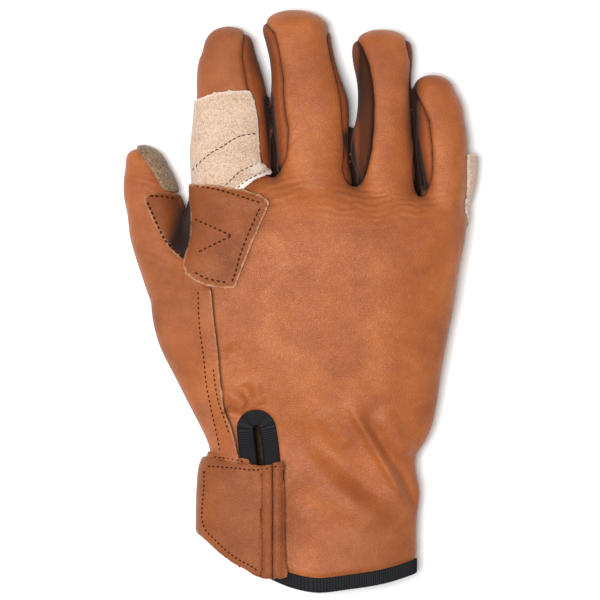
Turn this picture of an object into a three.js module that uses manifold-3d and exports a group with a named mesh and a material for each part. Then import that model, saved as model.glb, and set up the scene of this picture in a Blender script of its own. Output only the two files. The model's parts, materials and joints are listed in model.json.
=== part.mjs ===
import * as THREE from 'three';
import { mergeVertices } from 'three/addons/utils/BufferGeometryUtils.js';
import Module from 'manifold-3d';

const wasm = await Module();
wasm.setup();

// A leather climbing glove for the right hand, in millimetres. It lies palm down, with the
// fingertips towards +Y, the little finger towards +X and the back of the hand up.

// Leather, suede and tape
const wall = 1.4;
const seamGap = 0.3;
const layerGap = 0.3;
const suedeThickness = 1.4;
const patchThickness = 1.2;
const tabThickness = 1.6;
const underlayThickness = 1.0;
const tapeThickness = 1.0;
const tapeWidth = 6.5;

// Hand, from the hem to the knuckle line
const handLength = 175;
const handAxisX = 6;
const handWidth = 114;
const handHeight = 36;
const knuckleY = 50;
const knuckleSlant = 0.117;

// Fingers and thumb: the root is where a finger leaves the hand
const fingers = {
  index: { rootX: -29.1, rootY: 50, lean: -0.3, length: 67.9, width: 29, height: 24, arch: 3 },
  middle: { rootX: 5.2, rootY: 50, lean: -7.8, length: 75, width: 32, height: 25, arch: 3 },
  ring: { rootX: 37.1, rootY: 49, lean: -2.2, length: 67.6, width: 26, height: 24, arch: 3 },
  little: { rootX: 62, rootY: 46, lean: -6.9, length: 51.2, width: 24, height: 22, arch: 3 },
  thumb: { rootX: -60, rootY: 32, lean: -9.5, length: 33.7, width: 26, height: 24, arch: 3 },
};

// Hem, vent and wrist tab
const cuffWidth = 92;
const hemRise = 34;
const ventLength = 71;
const ventMouth = 17.2;
const ventX = -16.8;
const tabReach = 36.6;
const tabDrop = 50.9;
const tabEdgeX = -7;
const tabFootRise = 6.5;

// Web patch, suede band and suede palm
const patchReach = 36.2;
const patchDrop = 44;
const patchCornerX = -12.9;
const patchCornerY = 41;
const bandReach = 31;
const bandDrop = 41;
const bandX = -48.7;
const bandTopY = 89;
const palmSuedeWidth = 83;
const palmSuedeDrop = 118;
const palmSuedeX = -10.3;
const palmSuedeTopY = 62.5;
const palmSuedeSide = 16;
const suedeLip = 2.3;

// Roundness of the sections: powers of the superellipse, and where its widest level lies
const fullness = 2.3;
const underFullness = 2.9;
const underSag = 1.12;
const widestLevel = 0.45;
const tipRoundness = 0.9;

// Fineness of the facets
const handFacets = 22;
const fingerFacets = 10;
const tipRings = 3;
const sliver = 0.15;
const innerSliver = 0.35;

const floorHeight = layerGap + suedeThickness;
const far = 400;
const hemY = knuckleY - handLength;
const tabFootY = hemY + tabFootRise;

function table(columns, rows) {
  return rows.map((row) => Object.fromEntries(columns.map((name, i) => [name, row[i]])));
}

// Sections of the hand. along is a share of the hand's length from the hem, left and right are
// shares of its width from its axis, top is a share of its height.
const handRows = table(['along', 'left', 'right', 'top'], [
  [-0.05, -0.41, 0.38, 0.74],
  [0.05, -0.42, 0.386, 0.74],
  [0.17, -0.42, 0.386, 0.72],
  [0.245, -0.417, 0.398, 0.71],
  [0.305, -0.408, 0.382, 0.69],
  [0.333, -0.392, 0.385, 0.69],
  [0.36, -0.4, 0.413, 0.7],
  [0.394, -0.423, 0.439, 0.73],
  [0.443, -0.461, 0.457, 0.78],
  [0.517, -0.518, 0.473, 0.85],
  [0.616, -0.59, 0.499, 0.92],
  [0.714, -0.612, 0.526, 0.97],
  [0.813, -0.552, 0.544, 1.0],
  [0.887, -0.48, 0.563, 0.99],
  [0.936, -0.457, 0.572, 0.94],
  [0.966, -0.442, 0.572, 0.87],
  [0.985, -0.42, 0.55, 0.78],
  [1.0, -0.36, 0.476, 0.66],
]);

// Sections of each finger. along is a share of its length from the root, left and right are
// shares of its width from its axis, under is a share of its arch, top a share of its height.
const fingerColumns = ['along', 'left', 'right', 'under', 'top'];
const fingerRows = {
  index: table(fingerColumns, [
    [-0.29, -0.41, 0.44, 0, 1.3],
    [-0.1, -0.513, 0.527, 0, 1.25],
    [0.057, -0.557, 0.557, 0.1, 1.16],
    [0.216, -0.572, 0.565, 0.5, 1.07],
    [0.406, -0.527, 0.55, 0.8, 1.0],
    [0.532, -0.513, 0.513, 0.7, 0.96],
    [0.659, -0.513, 0.453, 0.4, 0.91],
    [0.785, -0.483, 0.364, 0, 0.86],
    [0.85, -0.42, 0.315, -0.3, 0.82],
  ]),
  middle: table(fingerColumns, [
    [-0.32, -0.4, 0.38, 0, 1.26],
    [-0.15, -0.45, 0.45, 0, 1.22],
    [0.023, -0.46, 0.53, 0, 1.15],
    [0.138, -0.42, 0.519, 0.3, 1.08],
    [0.253, -0.425, 0.53, 0.6, 1.03],
    [0.368, -0.44, 0.575, 0.8, 1.0],
    [0.483, -0.43, 0.59, 0.8, 0.97],
    [0.597, -0.39, 0.523, 0.5, 0.93],
    [0.712, -0.382, 0.469, 0.2, 0.89],
    [0.827, -0.415, 0.447, -0.2, 0.84],
    [0.885, -0.442, 0.443, -0.4, 0.8],
  ]),
  ring: table(fingerColumns, [
    [-0.4, -0.38, 0.38, 0, 1.28],
    [-0.21, -0.45, 0.45, 0, 1.26],
    [-0.02, -0.45, 0.46, 0, 1.17],
    [0.072, -0.46, 0.462, 0.2, 1.12],
    [0.2, -0.555, 0.46, 0.5, 1.06],
    [0.295, -0.535, 0.46, 0.7, 1.02],
    [0.423, -0.446, 0.465, 0.8, 0.98],
    [0.55, -0.401, 0.46, 0.7, 0.94],
    [0.678, -0.408, 0.454, 0.4, 0.9],
    [0.805, -0.464, 0.49, 0, 0.85],
    [0.87, -0.474, 0.5, -0.3, 0.81],
  ]),
  little: table(fingerColumns, [
    [-0.56, -0.4, -0.05, 0, 0.9],
    [-0.31, -0.4, 0.16, 0, 1.08],
    [-0.06, -0.36, 0.36, 0, 1.12],
    [0.11, -0.37, 0.445, 0.2, 1.08],
    [0.278, -0.37, 0.494, 0.5, 1.04],
    [0.446, -0.345, 0.542, 0.6, 0.99],
    [0.615, -0.315, 0.537, 0.4, 0.94],
    [0.783, -0.28, 0.513, 0, 0.87],
    [0.867, -0.265, 0.44, -0.3, 0.81],
  ]),
  thumb: table(fingerColumns, [
    [-2.5, 0.4, 1.45, 0, 1.02],
    [-2.09, 0.15, 1.6, 0, 1.08],
    [-1.3, -0.44, 0.95, 0, 1.12],
    [-0.96, -0.52, 0.72, 0, 1.12],
    [-0.64, -0.55, 0.66, 0, 1.08],
    [-0.32, -0.57, 0.55, 0, 1.0],
    [-0.13, -0.566, 0.48, 0, 0.95],
    [0.13, -0.51, 0.452, 0, 0.86],
    [0.383, -0.483, 0.4, 0, 0.78],
    [0.638, -0.39, 0.37, 0, 0.7],
    [0.77, -0.31, 0.32, 0, 0.64],
  ]),
};

// Side seams of the fingers, in degrees from straight up, towards +X
const fourchettes = {
  fourchette_index_middle: [
    { finger: 'index', upper: 40, lower: 118, start: -0.09, end: 0.93 },
    { finger: 'middle', upper: -38, lower: -118, start: -0.075, end: 0.95 },
  ],
  fourchette_middle_ring: [
    { finger: 'middle', upper: 80, lower: 128, start: -0.13, end: 0.93 },
    { finger: 'ring', upper: -30, lower: -115, start: -0.13, end: 0.95 },
  ],
  fourchette_ring_little: [
    { finger: 'ring', upper: 78, lower: 128, start: -0.18, end: 0.93 },
    { finger: 'little', upper: -24, lower: -115, start: -0.185, end: 0.94 },
  ],
};

function mixRows(low, high, share) {
  const row = {};
  for (const name of Object.keys(low)) {
    row[name] = THREE.MathUtils.lerp(low[name], high[name], share);
  }
  return row;
}

function rowAt(rows, along) {
  const last = rows.length - 1;
  let i = 0;
  while (i < last - 1 && rows[i + 1].along < along) {
    i += 1;
  }
  const share = (along - rows[i].along) / (rows[i + 1].along - rows[i].along);
  return mixRows(rows[i], rows[i + 1], share);
}

// A section lies between left and right, under and top. Its middle is a little below half height.
function handSection(row) {
  const slantStart = 0.6;
  const ramp = THREE.MathUtils.smoothstep(row.along, slantStart, 1);
  return {
    y: hemY + row.along * handLength,
    slant: -knuckleSlant * ramp,
    left: handAxisX + row.left * handWidth,
    right: handAxisX + row.right * handWidth,
    under: floorHeight,
    top: row.top * handHeight,
  };
}

function fingerSection(name, row) {
  const finger = fingers[name];
  const axisX = finger.rootX + finger.lean * row.along;
  return {
    y: finger.rootY + row.along * finger.length,
    slant: 0,
    left: axisX + row.left * finger.width,
    right: axisX + row.right * finger.width,
    under: floorHeight + row.under * finger.arch,
    top: row.top * finger.height,
  };
}

function grownSection(section, grow) {
  return {
    ...section,
    left: section.left - grow,
    right: section.right + grow,
    under: section.under - grow,
    top: section.top + grow,
  };
}

function sectionMiddle(section) {
  return {
    x: (section.left + section.right) / 2,
    z: THREE.MathUtils.lerp(section.under, section.top, widestLevel),
    halfWidth: (section.right - section.left) / 2,
  };
}

// The ring is a superellipse. Its lower half is fuller, and flat where it would pass the underside.
function sectionRing(section, facets) {
  const { x, z, halfWidth } = sectionMiddle(section);
  const ring = [];
  for (let i = 0; i < facets; i += 1) {
    const angle = (i / facets) * Math.PI * 2;
    const power = 2 / (Math.sin(angle) < 0 ? underFullness : fullness);
    const across = Math.sign(Math.cos(angle)) * Math.abs(Math.cos(angle)) ** power;
    const up = Math.sign(Math.sin(angle)) * Math.abs(Math.sin(angle)) ** power;
    const rise = up < 0 ? up * underSag * (z - section.under) : up * (section.top - z);
    const px = x + across * halfWidth;
    const py = section.y + section.slant * (px - handAxisX);
    ring.push(new THREE.Vector3(px, py, Math.max(z + rise, section.under)));
  }
  return ring;
}

function solidFromGeometry(geometry) {
  const bare = geometry.clone();
  bare.deleteAttribute('normal');
  bare.deleteAttribute('uv');
  const merged = mergeVertices(bare, 1e-4);
  const triVerts = new Uint32Array(merged.index.array);
  const vertProperties = new Float32Array(merged.attributes.position.array);
  return new wasm.Manifold(new wasm.Mesh({ numProp: 3, vertProperties, triVerts }));
}

// A closed loft through rings of equal count, with a fan at each end
function loft(rings) {
  const count = rings[0].length;
  const points = rings.flat();
  const centres = [rings[0], rings[rings.length - 1]].map((ring) => {
    const centre = new THREE.Vector3();
    ring.forEach((point) => centre.add(point));
    return centre.divideScalar(count);
  });
  const index = [];
  for (let r = 0; r < rings.length - 1; r += 1) {
    for (let i = 0; i < count; i += 1) {
      const a = r * count + i;
      const b = r * count + ((i + 1) % count);
      index.push(a, b, b + count, a, b + count, a + count);
    }
  }
  const startCentre = points.length;
  const endCentre = points.length + 1;
  const lastRing = (rings.length - 1) * count;
  for (let i = 0; i < count; i += 1) {
    const next = (i + 1) % count;
    index.push(startCentre, next, i, endCentre, lastRing + i, lastRing + next);
  }
  let volume = 0;
  const all = [...points, ...centres];
  for (let i = 0; i < index.length; i += 3) {
    const [a, b, c] = [all[index[i]], all[index[i + 1]], all[index[i + 2]]];
    volume += a.dot(new THREE.Vector3().crossVectors(b, c));
  }
  if (volume < 0) {
    index.reverse();
  }
  const geometry = new THREE.BufferGeometry();
  geometry.setAttribute('position', new THREE.Float32BufferAttribute(all.flatMap((p) => [p.x, p.y, p.z]), 3));
  geometry.setIndex(index);
  return solidFromGeometry(geometry);
}

function handSolid(grow) {
  const rings = handRows.map((row) => sectionRing(grownSection(handSection(row), grow), handFacets));
  const lastRing = rings[rings.length - 1];
  lastRing.forEach((point) => {
    point.y += grow;
  });
  rings[0].forEach((point) => {
    point.y -= Math.abs(grow);
  });
  return loft(rings);
}

// Past its last row a finger closes in a rounded tip, whose section shrinks as a quarter circle
function fingerSolid(name, grow) {
  const rows = fingerRows[name];
  const sections = rows.map((row) => grownSection(fingerSection(name, row), grow));
  const last = rows[rows.length - 1];
  const blunt = 0.35;
  for (let i = 1; i <= tipRings; i += 1) {
    const turn = (i / (tipRings + blunt)) * (Math.PI / 2);
    const along = THREE.MathUtils.lerp(last.along, 1, Math.sin(turn));
    const section = grownSection(fingerSection(name, { ...last, along }), grow);
    section.y += grow * Math.sin(turn);
    const { x, z, halfWidth } = sectionMiddle(section);
    const shrink = Math.cos(turn) ** tipRoundness;
    section.left = x - halfWidth * shrink;
    section.right = x + halfWidth * shrink;
    section.top = z + (section.top - z) * shrink;
    section.under = z + (section.under - z) * shrink;
    sections.push(section);
  }
  return loft(sections.map((section) => sectionRing(section, fingerFacets)));
}

function join(solids) {
  return solids.reduce((whole, solid) => whole.add(solid));
}

const bodyCache = new Map();

// The glove's form, grown by a distance, made of the hand and the named fingers
function form(grow, names = Object.keys(fingers)) {
  const key = `${grow} ${names.join(' ')}`;
  if (!bodyCache.has(key)) {
    bodyCache.set(key, join([handSolid(grow), ...names.map((name) => fingerSolid(name, grow))]));
  }
  return bodyCache.get(key);
}

// An upright prism over an outline in plan
function prism(points, low = -far, high = far) {
  const shape = new THREE.Shape(points.map(([x, y]) => new THREE.Vector2(x, y)));
  const geometry = new THREE.ExtrudeGeometry(shape, { depth: high - low, bevelEnabled: false });
  geometry.translate(0, 0, low);
  return solidFromGeometry(geometry);
}

// The outline moved outwards by a distance at every corner
function grownOutline(points, grow) {
  const area = THREE.ShapeUtils.area(points.map(([x, y]) => new THREE.Vector2(x, y)));
  const side = Math.sign(area) * grow;
  return points.map((point, i) => {
    const before = points[(i + points.length - 1) % points.length];
    const after = points[(i + 1) % points.length];
    const a = new THREE.Vector2(point[0] - before[0], point[1] - before[1]).normalize();
    const b = new THREE.Vector2(after[0] - point[0], after[1] - point[1]).normalize();
    const bisector = new THREE.Vector2(a.y + b.y, -a.x - b.x);
    const scale = (2 * side) / Math.max(bisector.lengthSq(), 0.6);
    return [point[0] + bisector.x * scale, point[1] + bisector.y * scale];
  });
}

// An outline from a table: across and up are shares of the sizes, from a corner
function outline(rows, cornerX, cornerY, reach, drop) {
  return rows.map(([across, up]) => [cornerX + across * reach, cornerY + up * drop]);
}

// Hem line: across is a share of the cuff's width from the hand's axis, rise a share of the hem's
const hemRows = [
  [-0.8, 1.35],
  [-0.62, 0.99],
  [-0.52, 0.72],
  [-0.43, 0.49],
  [-0.347, 0.33],
  [-0.243, 0.215],
  [-0.112, 0.065],
  [0, 0],
  [0.164, 0.038],
  [0.347, 0.115],
  [0.454, 0.19],
  [0.8, 0.4],
];

function aboveHem(lift) {
  const line = outline(hemRows, handAxisX, hemY + lift, cuffWidth, hemRise);
  return prism([...line, [far, far], [-far, far]]);
}

// Vent: along is a share of its length from the hem, left and right are shares of its mouth
const ventRows = table(['along', 'left', 'right'], [
  [-0.1, -0.5, 0.66],
  [0.02, -0.46, 0.58],
  [0.42, -0.22, 0.32],
  [0.76, -0.09, 0.09],
  [0.97, -0.075, 0.075],
]);

function ventPrism(grow) {
  const y = (row) => hemY + row.along * ventLength;
  const leftSide = ventRows.map((row) => [ventX + row.left * ventMouth - grow, y(row)]);
  const rightSide = ventRows.map((row) => [ventX + row.right * ventMouth + grow, y(row)]);
  const top = ventRows[ventRows.length - 1];
  const radius = top.right * ventMouth + grow;
  const apex = [];
  const apexSteps = 8;
  for (let i = 1; i < apexSteps; i += 1) {
    const angle = (i / apexSteps) * Math.PI;
    apex.push([ventX + radius * Math.cos(angle), y(top) + radius * Math.sin(angle)]);
  }
  return prism([...rightSide, ...apex, ...leftSide.reverse()], handHeight * 0.4, far);
}

// Seam between the back and the palm, as a share of the glove's length and of the hand's height
const sideSeamRows = [
  [-0.1, 0.34],
  [0.4, 0.34],
  [0.62, 0.36],
  [0.75, 0.32],
  [0.9, 0.26],
  [1.1, 0.18],
];

function aboveSideSeam(lift) {
  const gloveLength = handLength + fingers.middle.length;
  const line = sideSeamRows.map(([along, height]) => [hemY + along * gloveLength, height * handHeight + lift]);
  const shape = new THREE.Shape([...line, [far, far], [-far, far]].map(([y, z]) => new THREE.Vector2(y, z)));
  const geometry = new THREE.ExtrudeGeometry(shape, { depth: 2 * far, bevelEnabled: false });
  geometry.applyMatrix4(new THREE.Matrix4().makeBasis(
    new THREE.Vector3(0, 1, 0),
    new THREE.Vector3(0, 0, 1),
    new THREE.Vector3(1, 0, 0),
  ));
  geometry.translate(-far, 0, 0);
  return solidFromGeometry(geometry);
}

// The wedge of a finger between two side seams, which narrows to its middle near the tip
function wedge({ finger, upper, lower, start, end }, inset) {
  const rows = fingerRows[finger];
  const { length, width } = fingers[finger];
  const first = start + inset / length;
  const last = end - inset / length;
  const insetAngle = THREE.MathUtils.radToDeg(inset / (width / 2)) * Math.sign(lower - upper);
  const reach = 1.25;
  const steps = 4;
  const apart = 0.03;
  const taperStart = 0.6;
  const taperDepth = 0.85;
  const stations = [first];
  rows.forEach((row) => {
    if (row.along > first + apart && row.along < last - apart) {
      stations.push(row.along);
    }
  });
  stations.push(last);
  const rings = stations.map((along) => {
    const section = fingerSection(finger, rowAt(rows, along));
    const { x, z, halfWidth } = sectionMiddle(section);
    const taper = 1 - taperDepth * THREE.MathUtils.smoothstep(along, taperStart, 1);
    const middle = (upper + lower) / 2;
    const from = middle + (upper - middle) * taper + insetAngle;
    const to = middle + (lower - middle) * taper - insetAngle;
    const ring = [new THREE.Vector3(x, section.y, z)];
    for (let i = 0; i <= steps; i += 1) {
      const angle = THREE.MathUtils.degToRad(THREE.MathUtils.lerp(from, to, i / steps));
      const px = x + Math.sin(angle) * (halfWidth * reach - 2 * inset);
      const pz = z + Math.cos(angle) * ((section.top - z) * reach - 2 * inset);
      ring.push(new THREE.Vector3(px, section.y, pz));
    }
    return ring;
  });
  return loft(rings);
}

// Plan outline of the thumb panel, whose right side is the lapped seam down the back of the hand:
// across is a share of the hand's width from its axis, up a share of its length from the hem
const thumbPanelRows = [
  [-0.393, 0.744],
  [-0.42, 0.8],
  [-0.457, 0.862],
  [-0.467, 0.892],
  [-0.467, 0.985],
  [-0.49, 1.11],
  [-1.5, 1.14],
  [-1.5, -0.1],
  [-0.36, -0.1],
  [-0.34, 0.11],
  [-0.31, 0.22],
  [-0.291, 0.333],
  [-0.318, 0.401],
  [-0.348, 0.456],
  [-0.359, 0.517],
  [-0.367, 0.586],
  [-0.382, 0.665],
];

// Wrist tab: across is a share of its reach from its edge, up a share of its drop from its foot
const tabRows = [
  [-1.17, 0.95],
  [-0.85, 0.983],
  [-0.45, 0.949],
  [-0.25, 0.907],
  [-0.045, 0.966],
  [-0.015, 1.0],
  [0.0, 0.5],
  [0.01, 0.17],
  [0.05, 0.017],
  [-0.1, 0.0],
  [-0.24, 0.008],
  [-0.33, 0.034],
  [-0.44, 0.085],
  [-0.56, 0.127],
  [-0.72, 0.212],
  [-0.83, 0.288],
  [-0.955, 0.373],
  [-1.04, 0.458],
  [-1.17, 0.534],
];

const underlayRows = [
  [-1.1, 1.03],
  [-0.85, 1.035],
  [-0.4, 0.985],
  [-0.4, 0.1],
  [-1.1, 0.5],
];

// Web patch: across is a share of its reach and up a share of its drop, from its top right corner
const webPatchRows = [
  [-1.12, 0.21],
  [-0.905, 0.186],
  [-0.655, 0.167],
  [-0.357, 0.118],
  [-0.095, 0.049],
  [0, 0],
  [-0.202, -0.382],
  [-0.321, -0.627],
  [-0.4, -0.794],
  [-0.43, -0.813],
  [-0.714, -0.794],
  [-0.857, -0.745],
  [-0.964, -0.676],
  [-1.006, -0.607],
  [-1.12, -0.558],
];

// Suede band of the index finger: shares of its reach and its drop from its top left corner
const bandRows = [
  [-0.1, -0.05],
  [0.17, -0.05],
  [0.42, -0.01],
  [0.64, 0.02],
  [0.87, 0.025],
  [0.968, -0.27],
  [0.985, -0.46],
  [1.04, -0.66],
  [1.12, -0.81],
  [0.96, -0.88],
  [0.75, -1.0],
  [0.73, -1.15],
  [-0.1, -1.15],
];

// Suede palm: shares of its width and its drop from its top left corner
const palmSuedeRows = [
  [0, -0.17],
  [0.36, -0.21],
  [0.7, -0.22],
  [0.8, -0.08],
  [0.86, 0],
  [1.1, 0],
  [1.1, -0.29],
  [0.93, -0.33],
  [0.9, -0.85],
  [0.75, -1],
  [0.15, -1],
  [0, -0.85],
];

// Lip of the suede palm beside the little finger, shares of the same sizes
const suedeLipRows = [
  [0.86, 0],
  [1.038, 0],
  [1.017, -0.079],
  [1.004, -0.155],
  [0.975, -0.25],
  [0.86, -0.25],
];

// Thumb patch and thumb suede: shares of the thumb's width and length from its root
const thumbPatchRows = [
  [-0.27, 0.34],
  [-0.12, 0.4],
  [0.05, 0.412],
  [0.5, 0.37],
  [0.9, 0.2],
  [0.9, -0.45],
  [0.45, -0.48],
  [0.27, -0.38],
  [0.13, -0.27],
  [-0.1, 0.04],
];
const thumbSuedeRows = [
  [-0.39, 1.2],
  [-0.385, 0.97],
  [-0.13, 0.69],
  [0.04, 0.45],
  [0.9, 0.4],
  [0.9, 1.2],
];

function thumbOutline(rows) {
  const { rootX, rootY, width, length } = fingers.thumb;
  return outline(rows, rootX, rootY, width, length);
}

// A layer of a thickness on the hand and the named fingers, raised by a distance, over an outline
function layer(names, raise, thickness, points) {
  return form(raise + thickness, names).subtract(form(raise)).intersect(prism(points));
}

const cavity = form(-wall).simplify(innerSliver);
const shell = form(0).subtract(cavity).intersect(aboveHem(tapeThickness + layerGap));
const thumbPanelOutline = outline(thumbPanelRows, handAxisX, hemY, handWidth, handLength);
const handShell = shell.subtract(prism(grownOutline(thumbPanelOutline, seamGap / 2)));
const allWedges = join(Object.values(fourchettes).flat().map((side) => wedge(side, -seamGap / 2)));
const ventCut = ventPrism(tapeThickness + layerGap);
const bandOutline = outline(bandRows, bandX, bandTopY, bandReach, bandDrop);
const webPatchOutline = outline(webPatchRows, patchCornerX, patchCornerY, patchReach, patchDrop);

// The patch laps over the suede band, except under the hand, where it stops beside the band
function makeWebPatch() {
  const over = layerGap + suedeThickness + layerGap;
  const names = ['index'];
  const lowest = floorHeight + patchThickness;
  const nearBand = prism(grownOutline(bandOutline, layerGap));
  const outerBand = prism(grownOutline(bandOutline, layerGap + patchThickness), lowest);
  const inner = form(layerGap).add(form(over, names).intersect(nearBand));
  const raised = form(over + patchThickness, names).intersect(outerBand);
  return form(layerGap + patchThickness, names)
    .add(raised)
    .subtract(inner)
    .intersect(prism(webPatchOutline))
    .subtract(fingerSolid('thumb', 2 * layerGap + patchThickness));
}

// The suede palm wraps round the little finger's side, where its edge stands off as a lip
function makePalmSuede() {
  const points = outline(palmSuedeRows, palmSuedeX, palmSuedeTopY, palmSuedeWidth, palmSuedeDrop);
  const lipPoints = outline(suedeLipRows, palmSuedeX, palmSuedeTopY, palmSuedeWidth, palmSuedeDrop);
  const thickness = suedeThickness + suedeLip;
  const lip = layer(['little'], layerGap, thickness, lipPoints)
    .intersect(prism(lipPoints, floorHeight + suedeLip));
  return layer(['little'], layerGap, suedeThickness, points)
    .add(lip)
    .intersect(prism(points, -far, palmSuedeSide));
}

function makeUnderlay() {
  const points = outline(underlayRows, tabEdgeX, tabFootY, tabReach, tabDrop);
  return layer([], layerGap, underlayThickness, points)
    .intersect(prism(points, handHeight * 0.2))
    .intersect(aboveHem(tapeWidth + layerGap))
    .subtract(ventPrism(tapeWidth + layerGap));
}

function makeTab() {
  const points = outline(tabRows, tabEdgeX, tabFootY, tabReach, tabDrop);
  const raise = 2 * layerGap + Math.max(tapeThickness, underlayThickness);
  return layer([], raise, tabThickness, points).intersect(prism(points, handHeight * 0.16));
}

// Tape folded over the leather's edge: a channel outside and inside the wall
function tapeChannel() {
  const outer = form(layerGap + tapeThickness).subtract(form(-wall - layerGap - tapeThickness));
  const slot = form(layerGap).subtract(form(-wall - layerGap));
  return { outer, slot };
}

function makeHemBinding() {
  const { outer, slot } = tapeChannel();
  const strip = aboveHem(0).subtract(aboveHem(tapeWidth));
  return outer.intersect(strip)
    .subtract(slot.intersect(aboveHem(tapeThickness)))
    .subtract(ventPrism(0));
}

function makeVentBinding() {
  const { outer, slot } = tapeChannel();
  return outer.intersect(ventPrism(tapeWidth))
    .subtract(slot.subtract(ventPrism(tapeThickness)))
    .subtract(ventPrism(0))
    .intersect(aboveHem(tapeWidth + layerGap));
}

const leatherTan = { color: 0xb5703f, roughness: 0.48, metalness: 0 };
const leatherShade = { color: 0x9a5832, roughness: 0.52, metalness: 0 };
const patchTan = { color: 0xaf6a40, roughness: 0.45, metalness: 0 };
const suedeBeige = { color: 0xd9b88f, roughness: 0.95, metalness: 0 };
const tapeBlack = { color: 0x16171b, roughness: 0.8, metalness: 0 };

const backPanel = handShell.intersect(aboveSideSeam(seamGap / 2)).subtract(allWedges).subtract(ventCut);
const palmPanel = handShell.subtract(aboveSideSeam(-seamGap / 2)).subtract(allWedges);
const thumbPanel = shell.intersect(prism(grownOutline(thumbPanelOutline, -seamGap / 2))).subtract(ventCut);

const pieces = [
  ['back_panel', backPanel, leatherTan],
  ['palm_panel', palmPanel, leatherTan],
  ['thumb_panel', thumbPanel, leatherTan],
  ['index_suede', layer(['index'], layerGap, suedeThickness, bandOutline), suedeBeige],
  ['palm_suede', makePalmSuede(), suedeBeige],
  ['thumb_suede', fingerSolid('thumb', layerGap + suedeThickness).subtract(form(layerGap))
    .intersect(prism(thumbOutline(thumbSuedeRows))), suedeBeige],
  ['thumb_patch', fingerSolid('thumb', layerGap + patchThickness).subtract(form(layerGap))
    .intersect(prism(thumbOutline(thumbPatchRows))), patchTan],
  ['web_patch', makeWebPatch(), patchTan],
  ['closure_underlay', makeUnderlay(), leatherShade],
  ['closure_tab', makeTab(), patchTan],
  ['vent_binding', makeVentBinding(), tapeBlack],
  ['hem_binding', makeHemBinding(), tapeBlack],
];
for (const [name, sides] of Object.entries(fourchettes)) {
  const wedges = join(sides.map((side) => wedge(side, seamGap / 2)));
  pieces.push([name, shell.intersect(wedges), leatherShade]);
}

// The largest body of a cut solid, without slivers finer than the tolerance, as a named mesh
function pieceMesh(name, solid, look) {
  const bodies = solid.simplify(sliver).decompose();
  const body = bodies.reduce((best, next) => (next.volume() > best.volume() ? next : best));
  const mesh = body.getMesh();
  const geometry = new THREE.BufferGeometry();
  geometry.setAttribute('position', new THREE.Float32BufferAttribute(mesh.vertProperties, 3));
  geometry.setIndex(new THREE.Uint32BufferAttribute(mesh.triVerts, 1));
  geometry.computeVertexNormals();
  const piece = new THREE.Mesh(geometry, new THREE.MeshStandardMaterial(look));
  piece.name = name;
  return piece;
}

const glove = new THREE.Group();
for (const [name, solid, look] of pieces) {
  glove.add(pieceMesh(name, solid, look));
}

// The origin is under the middle of the glove, on the surface that it lies on
const box = new THREE.Box3().setFromObject(glove);
const middle = box.getCenter(new THREE.Vector3());
glove.position.set(-middle.x, -middle.y, -box.min.z);

export default glove;
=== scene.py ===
import json
import bpy
import numpy as np
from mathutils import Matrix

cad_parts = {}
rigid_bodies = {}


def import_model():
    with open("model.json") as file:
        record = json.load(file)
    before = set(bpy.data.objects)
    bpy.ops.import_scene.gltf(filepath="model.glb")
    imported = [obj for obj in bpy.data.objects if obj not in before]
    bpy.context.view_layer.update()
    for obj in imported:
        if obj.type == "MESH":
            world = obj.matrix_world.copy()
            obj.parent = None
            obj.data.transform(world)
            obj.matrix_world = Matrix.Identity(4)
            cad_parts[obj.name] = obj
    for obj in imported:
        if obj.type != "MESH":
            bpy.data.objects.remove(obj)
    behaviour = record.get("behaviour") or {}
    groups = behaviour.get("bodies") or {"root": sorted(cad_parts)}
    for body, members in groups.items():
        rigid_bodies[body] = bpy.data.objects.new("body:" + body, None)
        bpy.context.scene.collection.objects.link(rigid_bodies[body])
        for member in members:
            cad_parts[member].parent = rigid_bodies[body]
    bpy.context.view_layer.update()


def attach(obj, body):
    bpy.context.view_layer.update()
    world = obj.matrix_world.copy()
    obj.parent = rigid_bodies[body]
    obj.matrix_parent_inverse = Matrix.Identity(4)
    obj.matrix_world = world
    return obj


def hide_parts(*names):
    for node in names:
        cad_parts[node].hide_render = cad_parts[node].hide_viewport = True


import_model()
root = "root"
mm = 0.001
rng = np.random.default_rng(11)

# The drawing below is in millimetres from the middle of the photograph, +Y to the fingertips.
# The frame's origin lies this far from it.
originShift = np.array([0.17, 0.06, 0.0])

wall = 1.4  # thickness of the leather
layerGap = 0.3  # air between two layers
floorHeight = 1.7  # the suede palm lies under the leather

hand = {
    "length": 175.0, "axisX": 6.0, "width": 114.0, "height": 36.0, "hemY": -125.0,
    "slant": 0.117, "slantStart": 0.6,
}
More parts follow.
